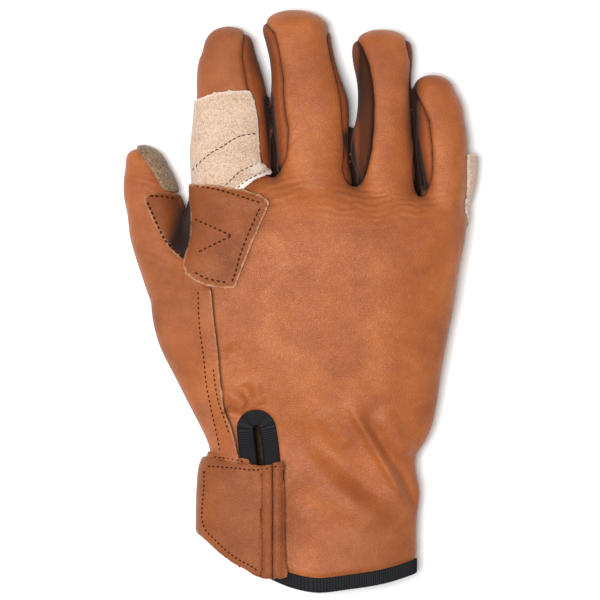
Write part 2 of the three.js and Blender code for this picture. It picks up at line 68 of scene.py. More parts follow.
# along, left, right, top: shares of the hand's length, width and height, from hem to knuckles
handRows = [
    (-0.05, -0.41, 0.38, 0.74), (0.05, -0.42, 0.386, 0.74), (0.17, -0.42, 0.386, 0.72),
    (0.245, -0.417, 0.398, 0.71), (0.305, -0.408, 0.382, 0.69), (0.333, -0.392, 0.385, 0.69),
    (0.36, -0.4, 0.413, 0.7), (0.394, -0.423, 0.439, 0.73), (0.443, -0.461, 0.457, 0.78),
    (0.517, -0.518, 0.473, 0.85), (0.616, -0.59, 0.499, 0.92), (0.714, -0.612, 0.526, 0.97),
    (0.813, -0.552, 0.544, 1.0), (0.887, -0.48, 0.563, 0.99), (0.936, -0.457, 0.572, 0.94),
    (0.966, -0.442, 0.572, 0.87), (0.985, -0.42, 0.55, 0.78), (1.0, -0.36, 0.476, 0.66),
]
fingers = {
    "index": {"rootX": -29.1, "rootY": 50.0, "lean": -0.3, "length": 67.9, "width": 29.0, "height": 24.0},
    "middle": {"rootX": 5.2, "rootY": 50.0, "lean": -7.8, "length": 75.0, "width": 32.0, "height": 25.0},
    "ring": {"rootX": 37.1, "rootY": 49.0, "lean": -2.2, "length": 67.6, "width": 26.0, "height": 24.0},
    "little": {"rootX": 62.0, "rootY": 46.0, "lean": -6.9, "length": 51.2, "width": 24.0, "height": 22.0},
    "thumb": {"rootX": -60.0, "rootY": 32.0, "lean": -9.5, "length": 33.7, "width": 26.0, "height": 24.0},
}
fingerArch = 3.0
# along, left, right, under, top: shares of the finger's length and width, of its arch and height
fingerRows = {
    "index": [
        (-0.29, -0.41, 0.44, 0, 1.3), (-0.1, -0.513, 0.527, 0, 1.25), (0.057, -0.557, 0.557, 0.1, 1.16),
        (0.216, -0.572, 0.565, 0.5, 1.07), (0.406, -0.527, 0.55, 0.8, 1.0), (0.532, -0.513, 0.513, 0.7, 0.96),
        (0.659, -0.513, 0.453, 0.4, 0.91), (0.785, -0.483, 0.364, 0, 0.86), (0.85, -0.42, 0.315, -0.3, 0.82),
    ],
    "middle": [
        (-0.32, -0.4, 0.38, 0, 1.26), (-0.15, -0.45, 0.45, 0, 1.22), (0.023, -0.46, 0.53, 0, 1.15),
        (0.138, -0.42, 0.519, 0.3, 1.08), (0.253, -0.425, 0.53, 0.6, 1.03), (0.368, -0.44, 0.575, 0.8, 1.0),
        (0.483, -0.43, 0.59, 0.8, 0.97), (0.597, -0.39, 0.523, 0.5, 0.93), (0.712, -0.382, 0.469, 0.2, 0.89),
        (0.827, -0.415, 0.447, -0.2, 0.84), (0.885, -0.442, 0.443, -0.4, 0.8),
    ],
    "ring": [
        (-0.4, -0.38, 0.38, 0, 1.28), (-0.21, -0.45, 0.45, 0, 1.26), (-0.02, -0.45, 0.46, 0, 1.17),
        (0.072, -0.46, 0.462, 0.2, 1.12), (0.2, -0.555, 0.46, 0.5, 1.06), (0.295, -0.535, 0.46, 0.7, 1.02),
        (0.423, -0.446, 0.465, 0.8, 0.98), (0.55, -0.401, 0.46, 0.7, 0.94), (0.678, -0.408, 0.454, 0.4, 0.9),
        (0.805, -0.464, 0.49, 0, 0.85), (0.87, -0.474, 0.5, -0.3, 0.81),
    ],
    "little": [
        (-0.56, -0.4, -0.05, 0, 0.9), (-0.31, -0.4, 0.16, 0, 1.08), (-0.06, -0.36, 0.36, 0, 1.12),
        (0.11, -0.37, 0.445, 0.2, 1.08), (0.278, -0.37, 0.494, 0.5, 1.04), (0.446, -0.345, 0.542, 0.6, 0.99),
        (0.615, -0.315, 0.537, 0.4, 0.94), (0.783, -0.28, 0.513, 0, 0.87), (0.867, -0.265, 0.44, -0.3, 0.81),
    ],
    "thumb": [
        (-2.5, 0.4, 1.45, 0, 1.02), (-2.09, 0.15, 1.6, 0, 1.08), (-1.3, -0.44, 0.95, 0, 1.12),
        (-0.96, -0.52, 0.72, 0, 1.12), (-0.64, -0.55, 0.66, 0, 1.08), (-0.32, -0.57, 0.55, 0, 1.0),
        (-0.13, -0.566, 0.48, 0, 0.95), (0.13, -0.51, 0.452, 0, 0.86), (0.383, -0.483, 0.4, 0, 0.78),
        (0.638, -0.39, 0.37, 0, 0.7), (0.77, -0.31, 0.32, 0, 0.64),
    ],
}


# A section: share of its height where it is widest, powers of its upper and lower half, how much
# the lower half is drawn past its floor before it is cut flat, and the power of a tip's rounding
sectionShape = {"level": 0.45, "topPower": 2.3, "underPower": 2.9, "flat": 1.12, "tipPower": 0.9}


# Catmull-Rom through a table's rows: every column is eased between its rows, at the asked places
def easeRows(rows, at):
    rows = np.asarray(rows, float)
    place, value = rows[:, 0], rows[:, 1:]
    slope = np.gradient(value, place, axis=0)
    i = np.clip(np.searchsorted(place, at, side="right") - 1, 0, len(place) - 2)
    gap = (place[i + 1] - place[i])[..., None]
    t = (np.asarray(at) - place[i])[..., None] / gap
    return (
        (2 * t**3 - 3 * t**2 + 1) * value[i] + (t**3 - 2 * t**2 + t) * gap * slope[i]
        + (3 * t**2 - 2 * t**3) * value[i + 1] + (t**3 - t**2) * gap * slope[i + 1]
    )


# From nought at low to one at high, as three times the square less twice the cube of the share
def easeStep(value, low, high):
    t = np.clip((value - low) / (high - low), 0, 1)
    return t * t * (3 - 2 * t)


# A section is a superellipse between left and right, under and top, fuller and flat below
def sectionRing(left, right, under, top, angle):
    level = under + sectionShape["level"] * (top - under)
    power = 2 / np.where(np.sin(angle) < 0, sectionShape["underPower"], sectionShape["topPower"])
    across = np.sign(np.cos(angle)) * np.abs(np.cos(angle)) ** power
    up = np.sign(np.sin(angle)) * np.abs(np.sin(angle)) ** power
    x = (left + right) / 2 + across * (right - left) / 2
    z = level + np.where(up < 0, up * sectionShape["flat"] * (level - under), up * (top - level))
    return x, np.maximum(z, under)


# The hand's skin: along runs from hem to knuckles, angle round the section from +X over the top
def handSkin(along, angle):
    row = easeRows(handRows, along)
    left = hand["axisX"] + row[..., 0] * hand["width"]
    right = hand["axisX"] + row[..., 1] * hand["width"]
    x, z = sectionRing(left, right, floorHeight, row[..., 2] * hand["height"], angle)
    slant = -hand["slant"] * easeStep(along, hand["slantStart"], 1)
    y = hand["hemY"] + along * hand["length"] + slant * (x - hand["axisX"])
    return np.stack([x, y, z], axis=-1)


# A finger's skin: past its last row the section shrinks as a quarter circle to the tip
def fingerSkin(name, along, angle):
    finger, rows = fingers[name], fingerRows[name]
    last = rows[-1][0]
    turn = np.clip((along - last) / (1 - last), 0, 1) * np.pi / 2
    reach = np.where(along > last, last + (1 - last) * np.sin(turn), along)
    row = easeRows(rows, np.minimum(along, last))
    axisX = finger["rootX"] + finger["lean"] * reach
    middle = axisX + (row[..., 0] + row[..., 1]) / 2 * finger["width"]
    half = (row[..., 1] - row[..., 0]) / 2 * finger["width"]
    under = floorHeight + row[..., 2] * fingerArch
    top = row[..., 3] * finger["height"]
    level = under + sectionShape["level"] * (top - under)
    shrink = np.maximum(np.cos(turn), 0) ** sectionShape["tipPower"]
    x, z = sectionRing(
        middle - half * shrink, middle + half * shrink,
        level - (level - under) * shrink, level + (top - level) * shrink, angle,
    )
    return np.stack([x, finger["rootY"] + reach * finger["length"] + 0 * x, z], axis=-1)


# The upper side of the hand at a place in plan: the section's upper half solved for its height
def handTop(x, y):
    along = (y - hand["hemY"]) / hand["length"]
    row = easeRows(handRows, along)
    left = hand["axisX"] + row[..., 0] * hand["width"]
    right = hand["axisX"] + row[..., 1] * hand["width"]
    top = row[..., 2] * hand["height"]
    level = floorHeight + sectionShape["level"] * (top - floorHeight)
    across = np.clip(np.abs(2 * (x - (left + right) / 2) / (right - left)), 0, 0.995)
    power = sectionShape["topPower"]
    return level + (top - level) * (1 - across**power) ** (1 / power)


# Two triangles for each cell of a grid of points, round its columns if it closes
def gridFaces(rows, columns, closed):
    spans = columns if closed else columns - 1
    r, c = np.meshgrid(np.arange(rows - 1), np.arange(spans), indexing="ij")
    a = (r * columns + c).ravel()
    b = (r * columns + (c + 1) % columns).ravel()
    return np.concatenate([np.stack([a, b, b + columns], 1), np.stack([a, b + columns, a + columns], 1)])


# A tube of rings with a fan at each end, as one closed sheet. Its volume, the sum of each
# triangle's product with the origin, tells which way its faces point
def closedTube(grid):
    rows, columns = grid.shape[:2]
    ends = np.array([grid[0].mean(axis=0), grid[-1].mean(axis=0)])
    points = np.concatenate([grid.reshape(-1, 3), ends])
    c = np.arange(columns)
    n = (c + 1) % columns
    low = np.stack([n, c, np.full(columns, rows * columns)], 1)
    high = np.stack([c, n, np.full(columns, rows * columns + 1)], 1) + [[(rows - 1) * columns] * 2 + [0]]
    faces = np.concatenate([gridFaces(rows, columns, True), low, high])
    corners = points[faces]
    volume = np.einsum("ij,ij->i", corners[:, 0], np.cross(corners[:, 1], corners[:, 2])).sum()
    return points, faces if volume > 0 else faces[:, ::-1]


# A mesh from points in millimetres and equal-sided faces; each mark is a number for every point
def makeMesh(name, points, faces, marks=None):
    mesh = bpy.data.meshes.new(name)
    count, sides = faces.shape
    mesh.vertices.add(len(points))
    mesh.vertices.foreach_set("co", ((points + originShift) * mm).astype(np.float32).ravel())
    mesh.loops.add(count * sides)
    mesh.loops.foreach_set("vertex_index", faces.astype(np.int32).ravel())
    mesh.polygons.add(count)
    mesh.polygons.foreach_set("loop_start", np.arange(count, dtype=np.int32) * sides)
    mesh.update(calc_edges=True)
    mesh.shade_smooth()
    for mark, value in (marks or {}).items():
        mesh.attributes.new(mark, "FLOAT", "POINT").data.foreach_set("value", value.astype(np.float32))
    return mesh


# A finished piece: its mesh, its materials in the order outer, inner and rim, and what it replaces
def makePiece(name, points, faces, pieceLooks, replaced=(), marks=None):
    piece = bpy.data.objects.new(name, makeMesh(name, points, faces, marks))
    bpy.context.scene.collection.objects.link(piece)
    for look in pieceLooks:
        piece.data.materials.append(look)
    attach(piece, root)
    if replaced:
        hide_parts(*replaced)
    return piece


# Each face's normal is the cross product of two of its sides, as long as twice its area
def faceNormals(points, faces):
    corners = points[faces]
    return np.cross(corners[:, 1] - corners[:, 0], corners[:, 2] - corners[:, 0])


# Each point's normal is the sum of its faces' normals, brought to length one
def pointNormals(points, faces):
    normal = faceNormals(points, faces)
    total = np.stack([
        np.bincount(faces.ravel(), np.repeat(normal[:, axis], 3), len(points)) for axis in range(3)
    ], axis=1)
    return total / np.maximum(np.linalg.norm(total, axis=1, keepdims=True), 1e-12)


# Every edge once, with the number of triangles that share it: one at an open edge
def sheetEdges(faces):
    pairs = np.sort(np.concatenate([faces[:, [0, 1]], faces[:, [1, 2]], faces[:, [2, 0]]]), axis=1)
    return np.unique(pairs, axis=0, return_counts=True)


# Each round moves a point a share of the way to the mean of its neighbours
def relax(values, faces, rounds, share=0.5, weight=1.0):
    edges, _ = sheetEdges(faces)
    a, b = edges.T
    count = np.bincount(np.concatenate([a, b]), minlength=len(values))
    values = values.copy()
    flat = values.reshape(len(values), -1)
    for _ in range(rounds):
        for axis in range(flat.shape[1]):
            column = flat[:, axis]
            total = np.bincount(a, column[b], len(column)) + np.bincount(b, column[a], len(column))
            flat[:, axis] = column + share * weight * (total / np.maximum(count, 1) - column)
    return flat.reshape(values.shape)


# Distance over a sheet from its open edge, found by stepping along its edges
def edgeReach(points, faces, rounds=12, far=30.0):
    edges, count = sheetEdges(faces)
    a, b = edges.T
    length = np.linalg.norm(points[a] - points[b], axis=1)
    reach = np.full(len(points), far)
    reach[edges[count == 1].ravel()] = 0
    for _ in range(rounds):
        np.minimum.at(reach, a, reach[b] + length)
        np.minimum.at(reach, b, reach[a] + length)
    return reach


# Keeps the part of a sheet where the field is above nought, and cuts the triangles across it
def trimSheet(sheet, field):
    faces = sheet["faces"]
    size = len(field)
    inside = field > 0
    count = inside[faces].sum(axis=1)
    odd = np.where(count == 1, inside[faces].argmax(axis=1), (~inside[faces]).argmax(axis=1))
    cut = (count == 1) | (count == 2)
    turned = np.take_along_axis(faces[cut], (odd[cut, None] + np.arange(3)) % 3, axis=1)
    ends = np.sort(np.concatenate([turned[:, [0, 1]], turned[:, [0, 2]]]), axis=1)
    _, first, back = np.unique(ends[:, 0] * size + ends[:, 1], return_index=True, return_inverse=True)
    a, b = ends[first].T
    share = np.clip(field[a] / np.where(field[a] == field[b], 1, field[a] - field[b]), 0.02, 0.98)
    near, beyond = np.split(size + back.ravel(), 2)
    one = count[cut] == 1
    two = ~one
    kept = np.concatenate([
        faces[count == 3],
        np.stack([turned[one, 0], near[one], beyond[one]], 1),
        np.stack([near[two], turned[two, 1], turned[two, 2]], 1),
        np.stack([near[two], turned[two, 2], beyond[two]], 1),
    ])
    used, renumbered = np.unique(kept, return_inverse=True)
    made = {"faces": renumbered.reshape(kept.shape)}
    for name, value in sheet.items():
        if name != "faces":
            mix = share[:, None] if value.ndim > 1 else share
            made[name] = np.concatenate([value, value[a] + (value[b] - value[a]) * mix])[used]
    return made


# Distance in plan to a line of points, the side it lies on, and the share of the line's length
def lineReach(x, y, line, closed=False):
    line = np.asarray(line, float)
    start, end = (line, np.roll(line, -1, axis=0)) if closed else (line[:-1], line[1:])
    step = end - start
    length = np.linalg.norm(step, axis=1)
    before = np.concatenate([[0], np.cumsum(length)[:-1]])
    best = np.full(x.shape, np.inf)
    side = np.ones(x.shape)
    along = np.zeros(x.shape)
    for (sx, sy), (dx, dy), size, done in zip(start, step, length, before):
        t = np.clip(((x - sx) * dx + (y - sy) * dy) / size**2, 0, 1)
        away = np.hypot(x - sx - t * dx, y - sy - t * dy)
        nearer = away < best
        best = np.where(nearer, away, best)
        side = np.where(nearer, np.sign(dx * (y - sy) - dy * (x - sx)), side)
        along = np.where(nearer, (done + t * size) / length.sum(), along)
    return best, side, along


# Distance in plan from a closed outline, above nought inside it
def outlineField(x, y, outline):
    line = np.asarray(outline, float)
    away, _, _ = lineReach(x, y, line, closed=True)
    following = np.roll(line, -1, axis=0)
    inside = np.zeros(x.shape, bool)
    for (ax, ay), (bx, by) in zip(line, following):
        crosses = (ay > y) != (by > y)
        inside ^= crosses & (x < (bx - ax) * (y - ay) / (by - ay if by != ay else 1) + ax)
    return np.where(inside, away, -away)


# A smooth line through points, with the asked number of steps for each stretch
def easeLine(points, steps=6):
    points = np.asarray(points, float)
    place = np.concatenate([[0], np.cumsum(np.linalg.norm(np.diff(points, axis=0), axis=1))])
    at = np.interp(np.arange((len(points) - 1) * steps + 1) / steps, np.arange(len(points)), place)
    return easeRows(np.column_stack([place, points]), at)


# Points at equal steps along a line
def evenLine(points, pitch):
    points = np.asarray(points, float)
    place = np.concatenate([[0], np.cumsum(np.linalg.norm(np.diff(points, axis=0), axis=1))])
    count = max(int(round(place[-1] / pitch)), 1)
    at = np.linspace(0, place[-1], count + 1)
    return np.stack([np.interp(at, place, points[:, axis]) for axis in range(points.shape[1])], axis=1)


latticeSize = 64


# Smooth noise from nought to one: a random lattice of the given spacing, eased between its corners
def softNoise(x, y, size, seed):
    lattice = np.random.default_rng(seed).random((latticeSize, latticeSize))
    u, v = x / size, y / size
    i, j = np.floor(u).astype(int), np.floor(v).astype(int)
    s, t = u - i, v - j
    s, t = s * s * (3 - 2 * s), t * t * (3 - 2 * t)
    i, j, k, m = (n % latticeSize for n in (i, j, i + 1, j + 1))
    low = lattice[i, j] * (1 - s) + lattice[k, j] * s
    high = lattice[i, m] * (1 - s) + lattice[k, m] * s
    return low * (1 - t) + high * t


# Folds of the back: height, width to the left and right of the line, and the line
folds = [
    (3.0, 4.6, 2.4, [
        (19.5, -40.0), (22.8, -47.5), (28.5, -57.0), (35.0, -68.0), (41.5, -79.0), (47.0, -88.0),
    ]),
    (-2.9, 3.0, 2.2, [
        (25.0, -46.0), (30.5, -54.5), (37.0, -65.0), (43.1, -75.5), (48.0, -86.0), (50.5, -95.0),
    ]),
    (2.0, 3.5, 6.0, [(34.0, -45.0), (41.0, -56.0), (48.0, -68.0)]),
    (-2.2, 5.5, 5.0, [
        (-2.0, -47.0), (4.0, -56.0), (12.0, -65.0), (22.0, -74.0), (31.0, -82.0), (40.0, -89.0),
    ]),
    (2.2, 6.0, 8.0, [(-1.0, -62.0), (7.0, -73.0), (18.0, -84.0), (30.0, -92.0), (40.0, -97.0)]),
    (-1.5, 7.0, 7.0, [(-6.0, -76.0), (0.0, -88.0), (8.0, -98.0), (20.0, -107.0)]),
    (1.2, 5.0, 4.0, [(8.0, -46.0), (14.0, -54.0), (21.0, -64.0)]),
    (2.0, 3.2, 3.0, [(-34.0, -37.5), (-28.0, -42.0), (-22.0, -45.5)]),
    (-2.2, 2.6, 2.6, [(-32.0, -46.0), (-27.5, -49.0), (-25.0, -47.0)]),
    (-1.3, 2.2, 2.2, [(-23.5, -35.0), (-23.0, -39.0), (-21.5, -44.0)]),
    (0.9, 2.6, 3.0, [(-19.5, -34.0), (-18.0, -39.0), (-16.5, -45.0)]),
    (-1.0, 5.0, 5.0, [(-31.0, -18.0), (-26.0, -28.0), (-21.0, -36.0)]),
    (-1.4, 2.0, 2.0, [(-17.0, 57.0), (-12.0, 54.0), (-9.0, 51.0)]),
    (1.2, 2.4, 2.4, [(-15.0, 60.0), (-11.0, 57.5), (-8.0, 55.0)]),
    (-1.2, 3.0, 2.2, [(-67.0, 21.0), (-60.0, 15.0), (-52.0, 12.5)]),
    (-0.9, 2.4, 2.2, [(-66.0, 12.0), (-59.0, 9.0), (-52.0, 10.0)]),
    (-1.0, 2.4, 2.2, [(-60.0, -2.0), (-54.0, 4.0), (-49.0, 11.0)]),
]
# Fine wrinkles: middle, direction in degrees, reach, spacing and height
wrinkles = [
    (-9.0, 48.0, 15.0, 14.0, 3.0, 0.24), (24.0, 43.0, -5.0, 16.0, 2.8, 0.27),
    (44.0, 41.0, 8.0, 15.0, 2.8, 0.3), (-62.0, 18.0, -28.0, 11.0, 2.8, 0.26),
    (-57.0, 5.0, -20.0, 11.0, 3.0, 0.22), (40.0, -84.0, -30.0, 10.0, 2.9, 0.2),
    (18.0, -50.0, -25.0, 12.0, 3.0, 0.14), (60.0, -40.0, 20.0, 14.0, 3.6, 0.12),
    (-26.0, -26.0, 60.0, 9.0, 3.0, 0.1), (-7.0, 66.0, 62.0, 9.0, 2.8, 0.16),
    (-68.0, 50.0, -10.0, 10.0, 2.6, 0.14), (19.0, 62.0, 0.0, 8.0, 2.4, 0.26),
    (-28.0, -24.0, 5.0, 9.0, 2.8, 0.12), (2.0, -84.0, 40.0, 12.0, 3.4, 0.1),
]
lie = {
    "foldStart": 0.25, "foldEnd": 0.2,  # shares of a fold's length over which it rises and falls
    "broad": 24, "broadHeight": 0.9, "narrow": 11, "narrowHeight": 0.45,  # slow unevenness
    "wanderSize": 7, "wanderFine": 3.2, "wander": 2.4,  # how a wrinkle leaves its straight line
    "stillBelow": 8, "fullAbove": 17,  # heights between which all of it fades in
}


# The leather's lie lifts or lowers what is above the side seams: a fold is a bell curve of the
# distance from its line, a wrinkle a cosine across its direction under a bell, and the rest noise
def settle(points):
    x, y, z = points.T
    rise = np.zeros(len(points))
    for height, leftWidth, rightWidth, line in folds:
        away, side, along = lineReach(x, y, easeLine(line, 3))
        width = np.where(side > 0, leftWidth, rightWidth)
        ends = easeStep(along, 0, lie["foldStart"]) * easeStep(1 - along, 0, lie["foldEnd"])
        rise += height * np.exp(-((away / width) ** 2)) * ends
    for mx, my, degrees, reach, spacing, height in wrinkles:
        turn = np.radians(degrees)
        u = (x - mx) * np.cos(turn) + (y - my) * np.sin(turn)
        v = (y - my) * np.cos(turn) - (x - mx) * np.sin(turn)
        wander = 2.2 * softNoise(x + 200, y + 200, lie["wanderSize"], 5)
        wander += 1.3 * softNoise(x + 200, y + 200, lie["wanderFine"], 6)
        fade = np.exp(-((u / reach) ** 2 + (v / (0.6 * reach)) ** 2))
        rise += height * fade * np.cos(2 * np.pi * v / spacing + lie["wander"] * wander)
    rise += lie["broadHeight"] * (softNoise(x + 300, y + 300, lie["broad"], 1) - 0.5)
    rise += lie["narrowHeight"] * (softNoise(x + 300, y + 300, lie["narrow"], 2) - 0.5)
    settled = points.copy()
    settled[:, 2] += rise * easeStep(z, lie["stillBelow"], lie["fullAbove"])
    return settled


# Camera and light, as the photograph was taken: from straight above, under broad soft light
view = {
    "height": 1.2, "sensor": 36.0,
    "photoWidth": 0.2586,  # metres across the picture, at the middle height
    "middleHeight": 0.014,
}
camera = bpy.data.objects.new("camera", bpy.data.cameras.new("camera"))
camera.data.sensor_width = view["sensor"]
camera.data.lens = view["sensor"] * view["height"] / view["photoWidth"]
camera.location = (originShift[0] * mm, originShift[1] * mm, view["height"] + view["middleHeight"])
bpy.context.scene.collection.objects.link(camera)
bpy.context.scene.camera = camera

lamps = {
    # place, size and power
    "softbox": ((-0.8, 0.1, 0.8), 0.5, 3.0),
    "overhead": ((-0.16, -0.04, 1.15), 0.36, 12.2),
}
for lampName, (place, size, power) in lamps.items():
    lamp = bpy.data.lights.new(lampName, "AREA")
    lamp.shape = "SQUARE"
    lamp.size = size
    lamp.energy = power
    lampObject = bpy.data.objects.new(lampName, lamp)
    lampObject.location = place
    aim = np.array(place)
    lampObject.rotation_euler = (
        np.arctan2(np.hypot(aim[0], aim[1]), aim[2]), 0, np.arctan2(aim[1], aim[0]) + np.pi / 2,
    )
    bpy.context.scene.collection.objects.link(lampObject)

studio = {"colour": (1.0, 0.99, 0.975, 1), "strength": 0.44}
world = bpy.data.worlds.new("studio")
world.use_nodes = True
world.node_tree.nodes["Background"].inputs["Color"].default_value = studio["colour"]
world.node_tree.nodes["Background"].inputs["Strength"].default_value = studio["strength"]
bpy.context.scene.world = world
bpy.context.scene.view_settings.view_transform = "Standard"

print("stage: materials")


# 8-bit screen colour to the linear colour that a shader takes
def tone(red, green, blue):
    c = np.array([red, green, blue]) / 255
    linear = np.where(c <= 0.04045, c / 12.92, ((c + 0.055) / 1.055) ** 2.4)
    return (*linear, 1.0)


# A node group with named inputs and outputs
def startGroup(name, inputs, outputs):
    group = bpy.data.node_groups.new(name, "ShaderNodeTree")
    for label, kind, value in inputs:
        socket = group.interface.new_socket(label, in_out="INPUT", socket_type=kind)
        if value is not None:
            socket.default_value = value
    for label, kind in outputs:
        group.interface.new_socket(label, in_out="OUTPUT", socket_type=kind)
    return group, group.nodes.new("NodeGroupInput"), group.nodes.new("NodeGroupOutput")


# A node with its settings; an input is named by its label, or as i and its number, and takes a
# value or another node's output
def addNode(tree, kind, settings=None, **inputs):
    node = tree.nodes.new(kind)
    for key, value in (settings or {}).items():
        setattr(node, key, value)
    for key, value in inputs.items():
        socket = node.inputs[int(key[1:])] if key[0] == "i" and key[1:].isdigit() else node.inputs[key]
        if hasattr(value, "is_output"):
            tree.links.new(value, socket)
        else:
            socket.default_value = value
    return node


# One sum or product of two numbers or outputs
def addMath(tree, operation, first, second=0.0):
    return addNode(tree, "ShaderNodeMath", {"operation": operation}, i0=first, i1=second).outputs[0]


# Outputs added up, each times its weight
def addWeighed(tree, *parts):
    total = None
    for value, weight in parts:
        share = value if weight == 1 else addMath(tree, "MULTIPLY", value, weight)
        total = share if total is None else addMath(tree, "ADD", total, share)
    return total


# Sizes are counts to the metre, as noise and Voronoi scales are
grainSize = {"pebble": 1100.0, "crease": 310.0, "fine": 2600.0, "cloud": 55.0, "warp": 240.0, "bend": 0.0016}
napSize = {"fibre": 1500.0, "clump": 800.0, "patch": 90.0}


# Leather grain: pebbles from distance to cell edges, pores and long fine creases, as a height;
# the tone runs from nought in hollows to one on the worn tops, with slow cloudy patches
def buildGrain():
    group, take, give = startGroup(
        "leatherGrain",
        [
            ("Pebble", "NodeSocketFloat", grainSize["pebble"]), ("Crease", "NodeSocketFloat", 0.5),
            ("Cloud", "NodeSocketFloat", grainSize["cloud"]),
        ],
        [(label, "NodeSocketFloat") for label in ("Height", "Tone", "Cloudy")],
    )
    place = group.nodes.new("ShaderNodeTexCoord").outputs["Object"]
    warp = addNode(group, "ShaderNodeTexNoise", Vector=place, Scale=grainSize["warp"], Detail=3.0)
    bent = addNode(
        group, "ShaderNodeVectorMath", {"operation": "MULTIPLY_ADD"},
        i0=warp.outputs["Color"], i1=(grainSize["bend"],) * 3, i2=place,
    ).outputs[0]

    # nought on the edges of Voronoi cells, one past a share of a cell
    def cells(scale, full):
        edge = addNode(
            group, "ShaderNodeTexVoronoi", {"feature": "DISTANCE_TO_EDGE"}, Vector=bent, Scale=scale,
        ).outputs["Distance"]
        return addNode(group, "ShaderNodeMapRange", Value=edge, i1=0.0, i2=full).outputs[0]

    pebble = cells(take.outputs["Pebble"], 0.22)
    fine = addNode(
        group, "ShaderNodeTexNoise", Vector=place, Scale=grainSize["fine"], Detail=4.0,
    ).outputs[0]
    crease = cells(grainSize["crease"], 0.1)
    cloud = addNode(
        group, "ShaderNodeTexNoise", Vector=place, Scale=take.outputs["Cloud"], Detail=4.0,
        Roughness=0.6,
    ).outputs[0]
    creased = addMath(group, "MULTIPLY", crease, take.outputs["Crease"])
    height = addWeighed(group, (pebble, 0.5), (fine, 0.25), (creased, 1))
    toneValue = addWeighed(group, (pebble, 0.35), (crease, 0.3), (fine, 0.35))
    group.links.new(height, give.inputs["Height"])
    group.links.new(toneValue, give.inputs["Tone"])
    group.links.new(cloud, give.inputs["Cloudy"])
    return group


# Nap of suede: fine fibres and soft patches where it was brushed, as weighed sums of noises
def buildNap():
    group, take, give = startGroup(
        "suedeNap",
        [
            ("Fibre", "NodeSocketFloat", napSize["fibre"]),
            ("Patch", "NodeSocketFloat", napSize["patch"]),
        ],
        [(label, "NodeSocketFloat") for label in ("Height", "Patches")],
    )
    place = group.nodes.new("ShaderNodeTexCoord").outputs["Object"]

    def noise(scale, detail, **rough):
        return addNode(
            group, "ShaderNodeTexNoise", Vector=place, Scale=scale, Detail=detail, **rough,
        ).outputs[0]

    fibre = noise(take.outputs["Fibre"], 6.0, Roughness=0.75)
    clump = noise(napSize["clump"], 5.0, Roughness=0.7)
    patch = noise(take.outputs["Patch"], 3.0)
    height = addWeighed(group, (fibre, 1), (clump, 0.6))
    spots = addWeighed(group, (fibre, 0.7), (clump, 0.25), (patch, 0.14))
    group.links.new(height, give.inputs["Height"])
    group.links.new(spots, give.inputs["Patches"])
    return group


grainGroup = buildGrain()
napGroup = buildNap()


# A new material with its Principled shader
def startLook(name, roughness):
    look = bpy.data.materials.new(name)
    look.use_nodes = True
    shader = look.node_tree.nodes["Principled BSDF"]
    shader.inputs["Roughness"].default_value = roughness
    return look, look.node_tree, shader


# A value from nought to one turned into colours between stops of place and colour
def addRamp(tree, value, stops):
    ramp = tree.nodes.new("ShaderNodeValToRGB")
    tree.links.new(value, ramp.inputs[0])
    elements = ramp.color_ramp.elements
    for element, (place, colour) in zip(list(elements), stops[:2]):
        element.position = place
        element.color = colour
    for place, colour in stops[2:]:
        elements.new(place).color = colour
    return ramp.outputs[0]


# Two colours mixed by a factor
def addMix(tree, factor, first, second, blend="MIX"):
    node = addNode(tree, "ShaderNodeMix", {"data_type": "RGBA", "blend_type": blend})
    for socket, value in (("Factor_Float", factor), ("A_Color", first), ("B_Color", second)):
        target = next(s for s in node.inputs if s.identifier == socket)
        if hasattr(value, "is_output"):
            tree.links.new(value, target)
        else:
            target.default_value = value
    return next(s for s in node.outputs if s.identifier == "Result_Color")


cutTone = tone(204, 156, 120)
leatherFinish = {
    "roughness": 0.46, "shine": 0.36, "crease": 0.25, "sheen": 0.05,
    "bump": 0.6, "bumpDepth": 0.00025,  # strength, and depth in metres
    "seamDull": 0.5,  # added to the roughness where the seam and painted-shade mark is full
}


# Grain leather: cloudy tan, darker in the grain's hollows; the seam and painted-shade mark mixes in a dark
# tone, for the seams and for painted shade, and dulls the shine, and the pale mark mixes in the tone of a cut
# edge
def leatherLook(name, dark, middle, light, seam, shine=leatherFinish["shine"]):
    roughness = leatherFinish["roughness"]
    look, tree, shader = startLook(name, roughness)
    group = addNode(
        tree, "ShaderNodeGroup", {"node_tree": grainGroup}, Crease=leatherFinish["crease"],
    )
    base = addRamp(tree, group.outputs["Cloudy"], [(0.3, dark), (0.52, middle), (0.74, light)])
    hollow, top = (0.9, 0.87, 0.84, 1), (1.03, 1.03, 1.03, 1)
    worn = addRamp(tree, group.outputs["Tone"], [(0.3, hollow), (0.8, top)])
    colour = addMix(tree, 1.0, base, worn, "MULTIPLY")
    # this mark is dark seams plus painted shade: shadow beside laps, shade in slits and gaps, darker spots
    mark = addNode(tree, "ShaderNodeAttribute", {"attribute_name": "seam"})
    colour = addMix(tree, mark.outputs["Fac"], colour, seam)
    edge = addNode(tree, "ShaderNodeAttribute", {"attribute_name": "pale"})
    colour = addMix(tree, edge.outputs["Fac"], colour, cutTone)
    tree.links.new(colour, shader.inputs["Base Color"])
    rough = addNode(
        tree, "ShaderNodeMapRange", Value=group.outputs["Cloudy"], i1=0.3, i2=0.7,
        i3=roughness + 0.06, i4=roughness - 0.05,
    ).outputs[0]
    dull = addMath(tree, "MULTIPLY", mark.outputs["Fac"], leatherFinish["seamDull"])
    tree.links.new(addMath(tree, "ADD", rough, dull), shader.inputs["Roughness"])
    bump = addNode(
        tree, "ShaderNodeBump", Strength=leatherFinish["bump"], Distance=leatherFinish["bumpDepth"],
        Height=group.outputs["Height"],
    )
    tree.links.new(bump.outputs[0], shader.inputs["Normal"])
    shader.inputs["Specular IOR Level"].default_value = shine
    shader.inputs["Sheen Weight"].default_value = leatherFinish["sheen"]
    shader.inputs["Sheen Roughness"].default_value = 0.5
    return look


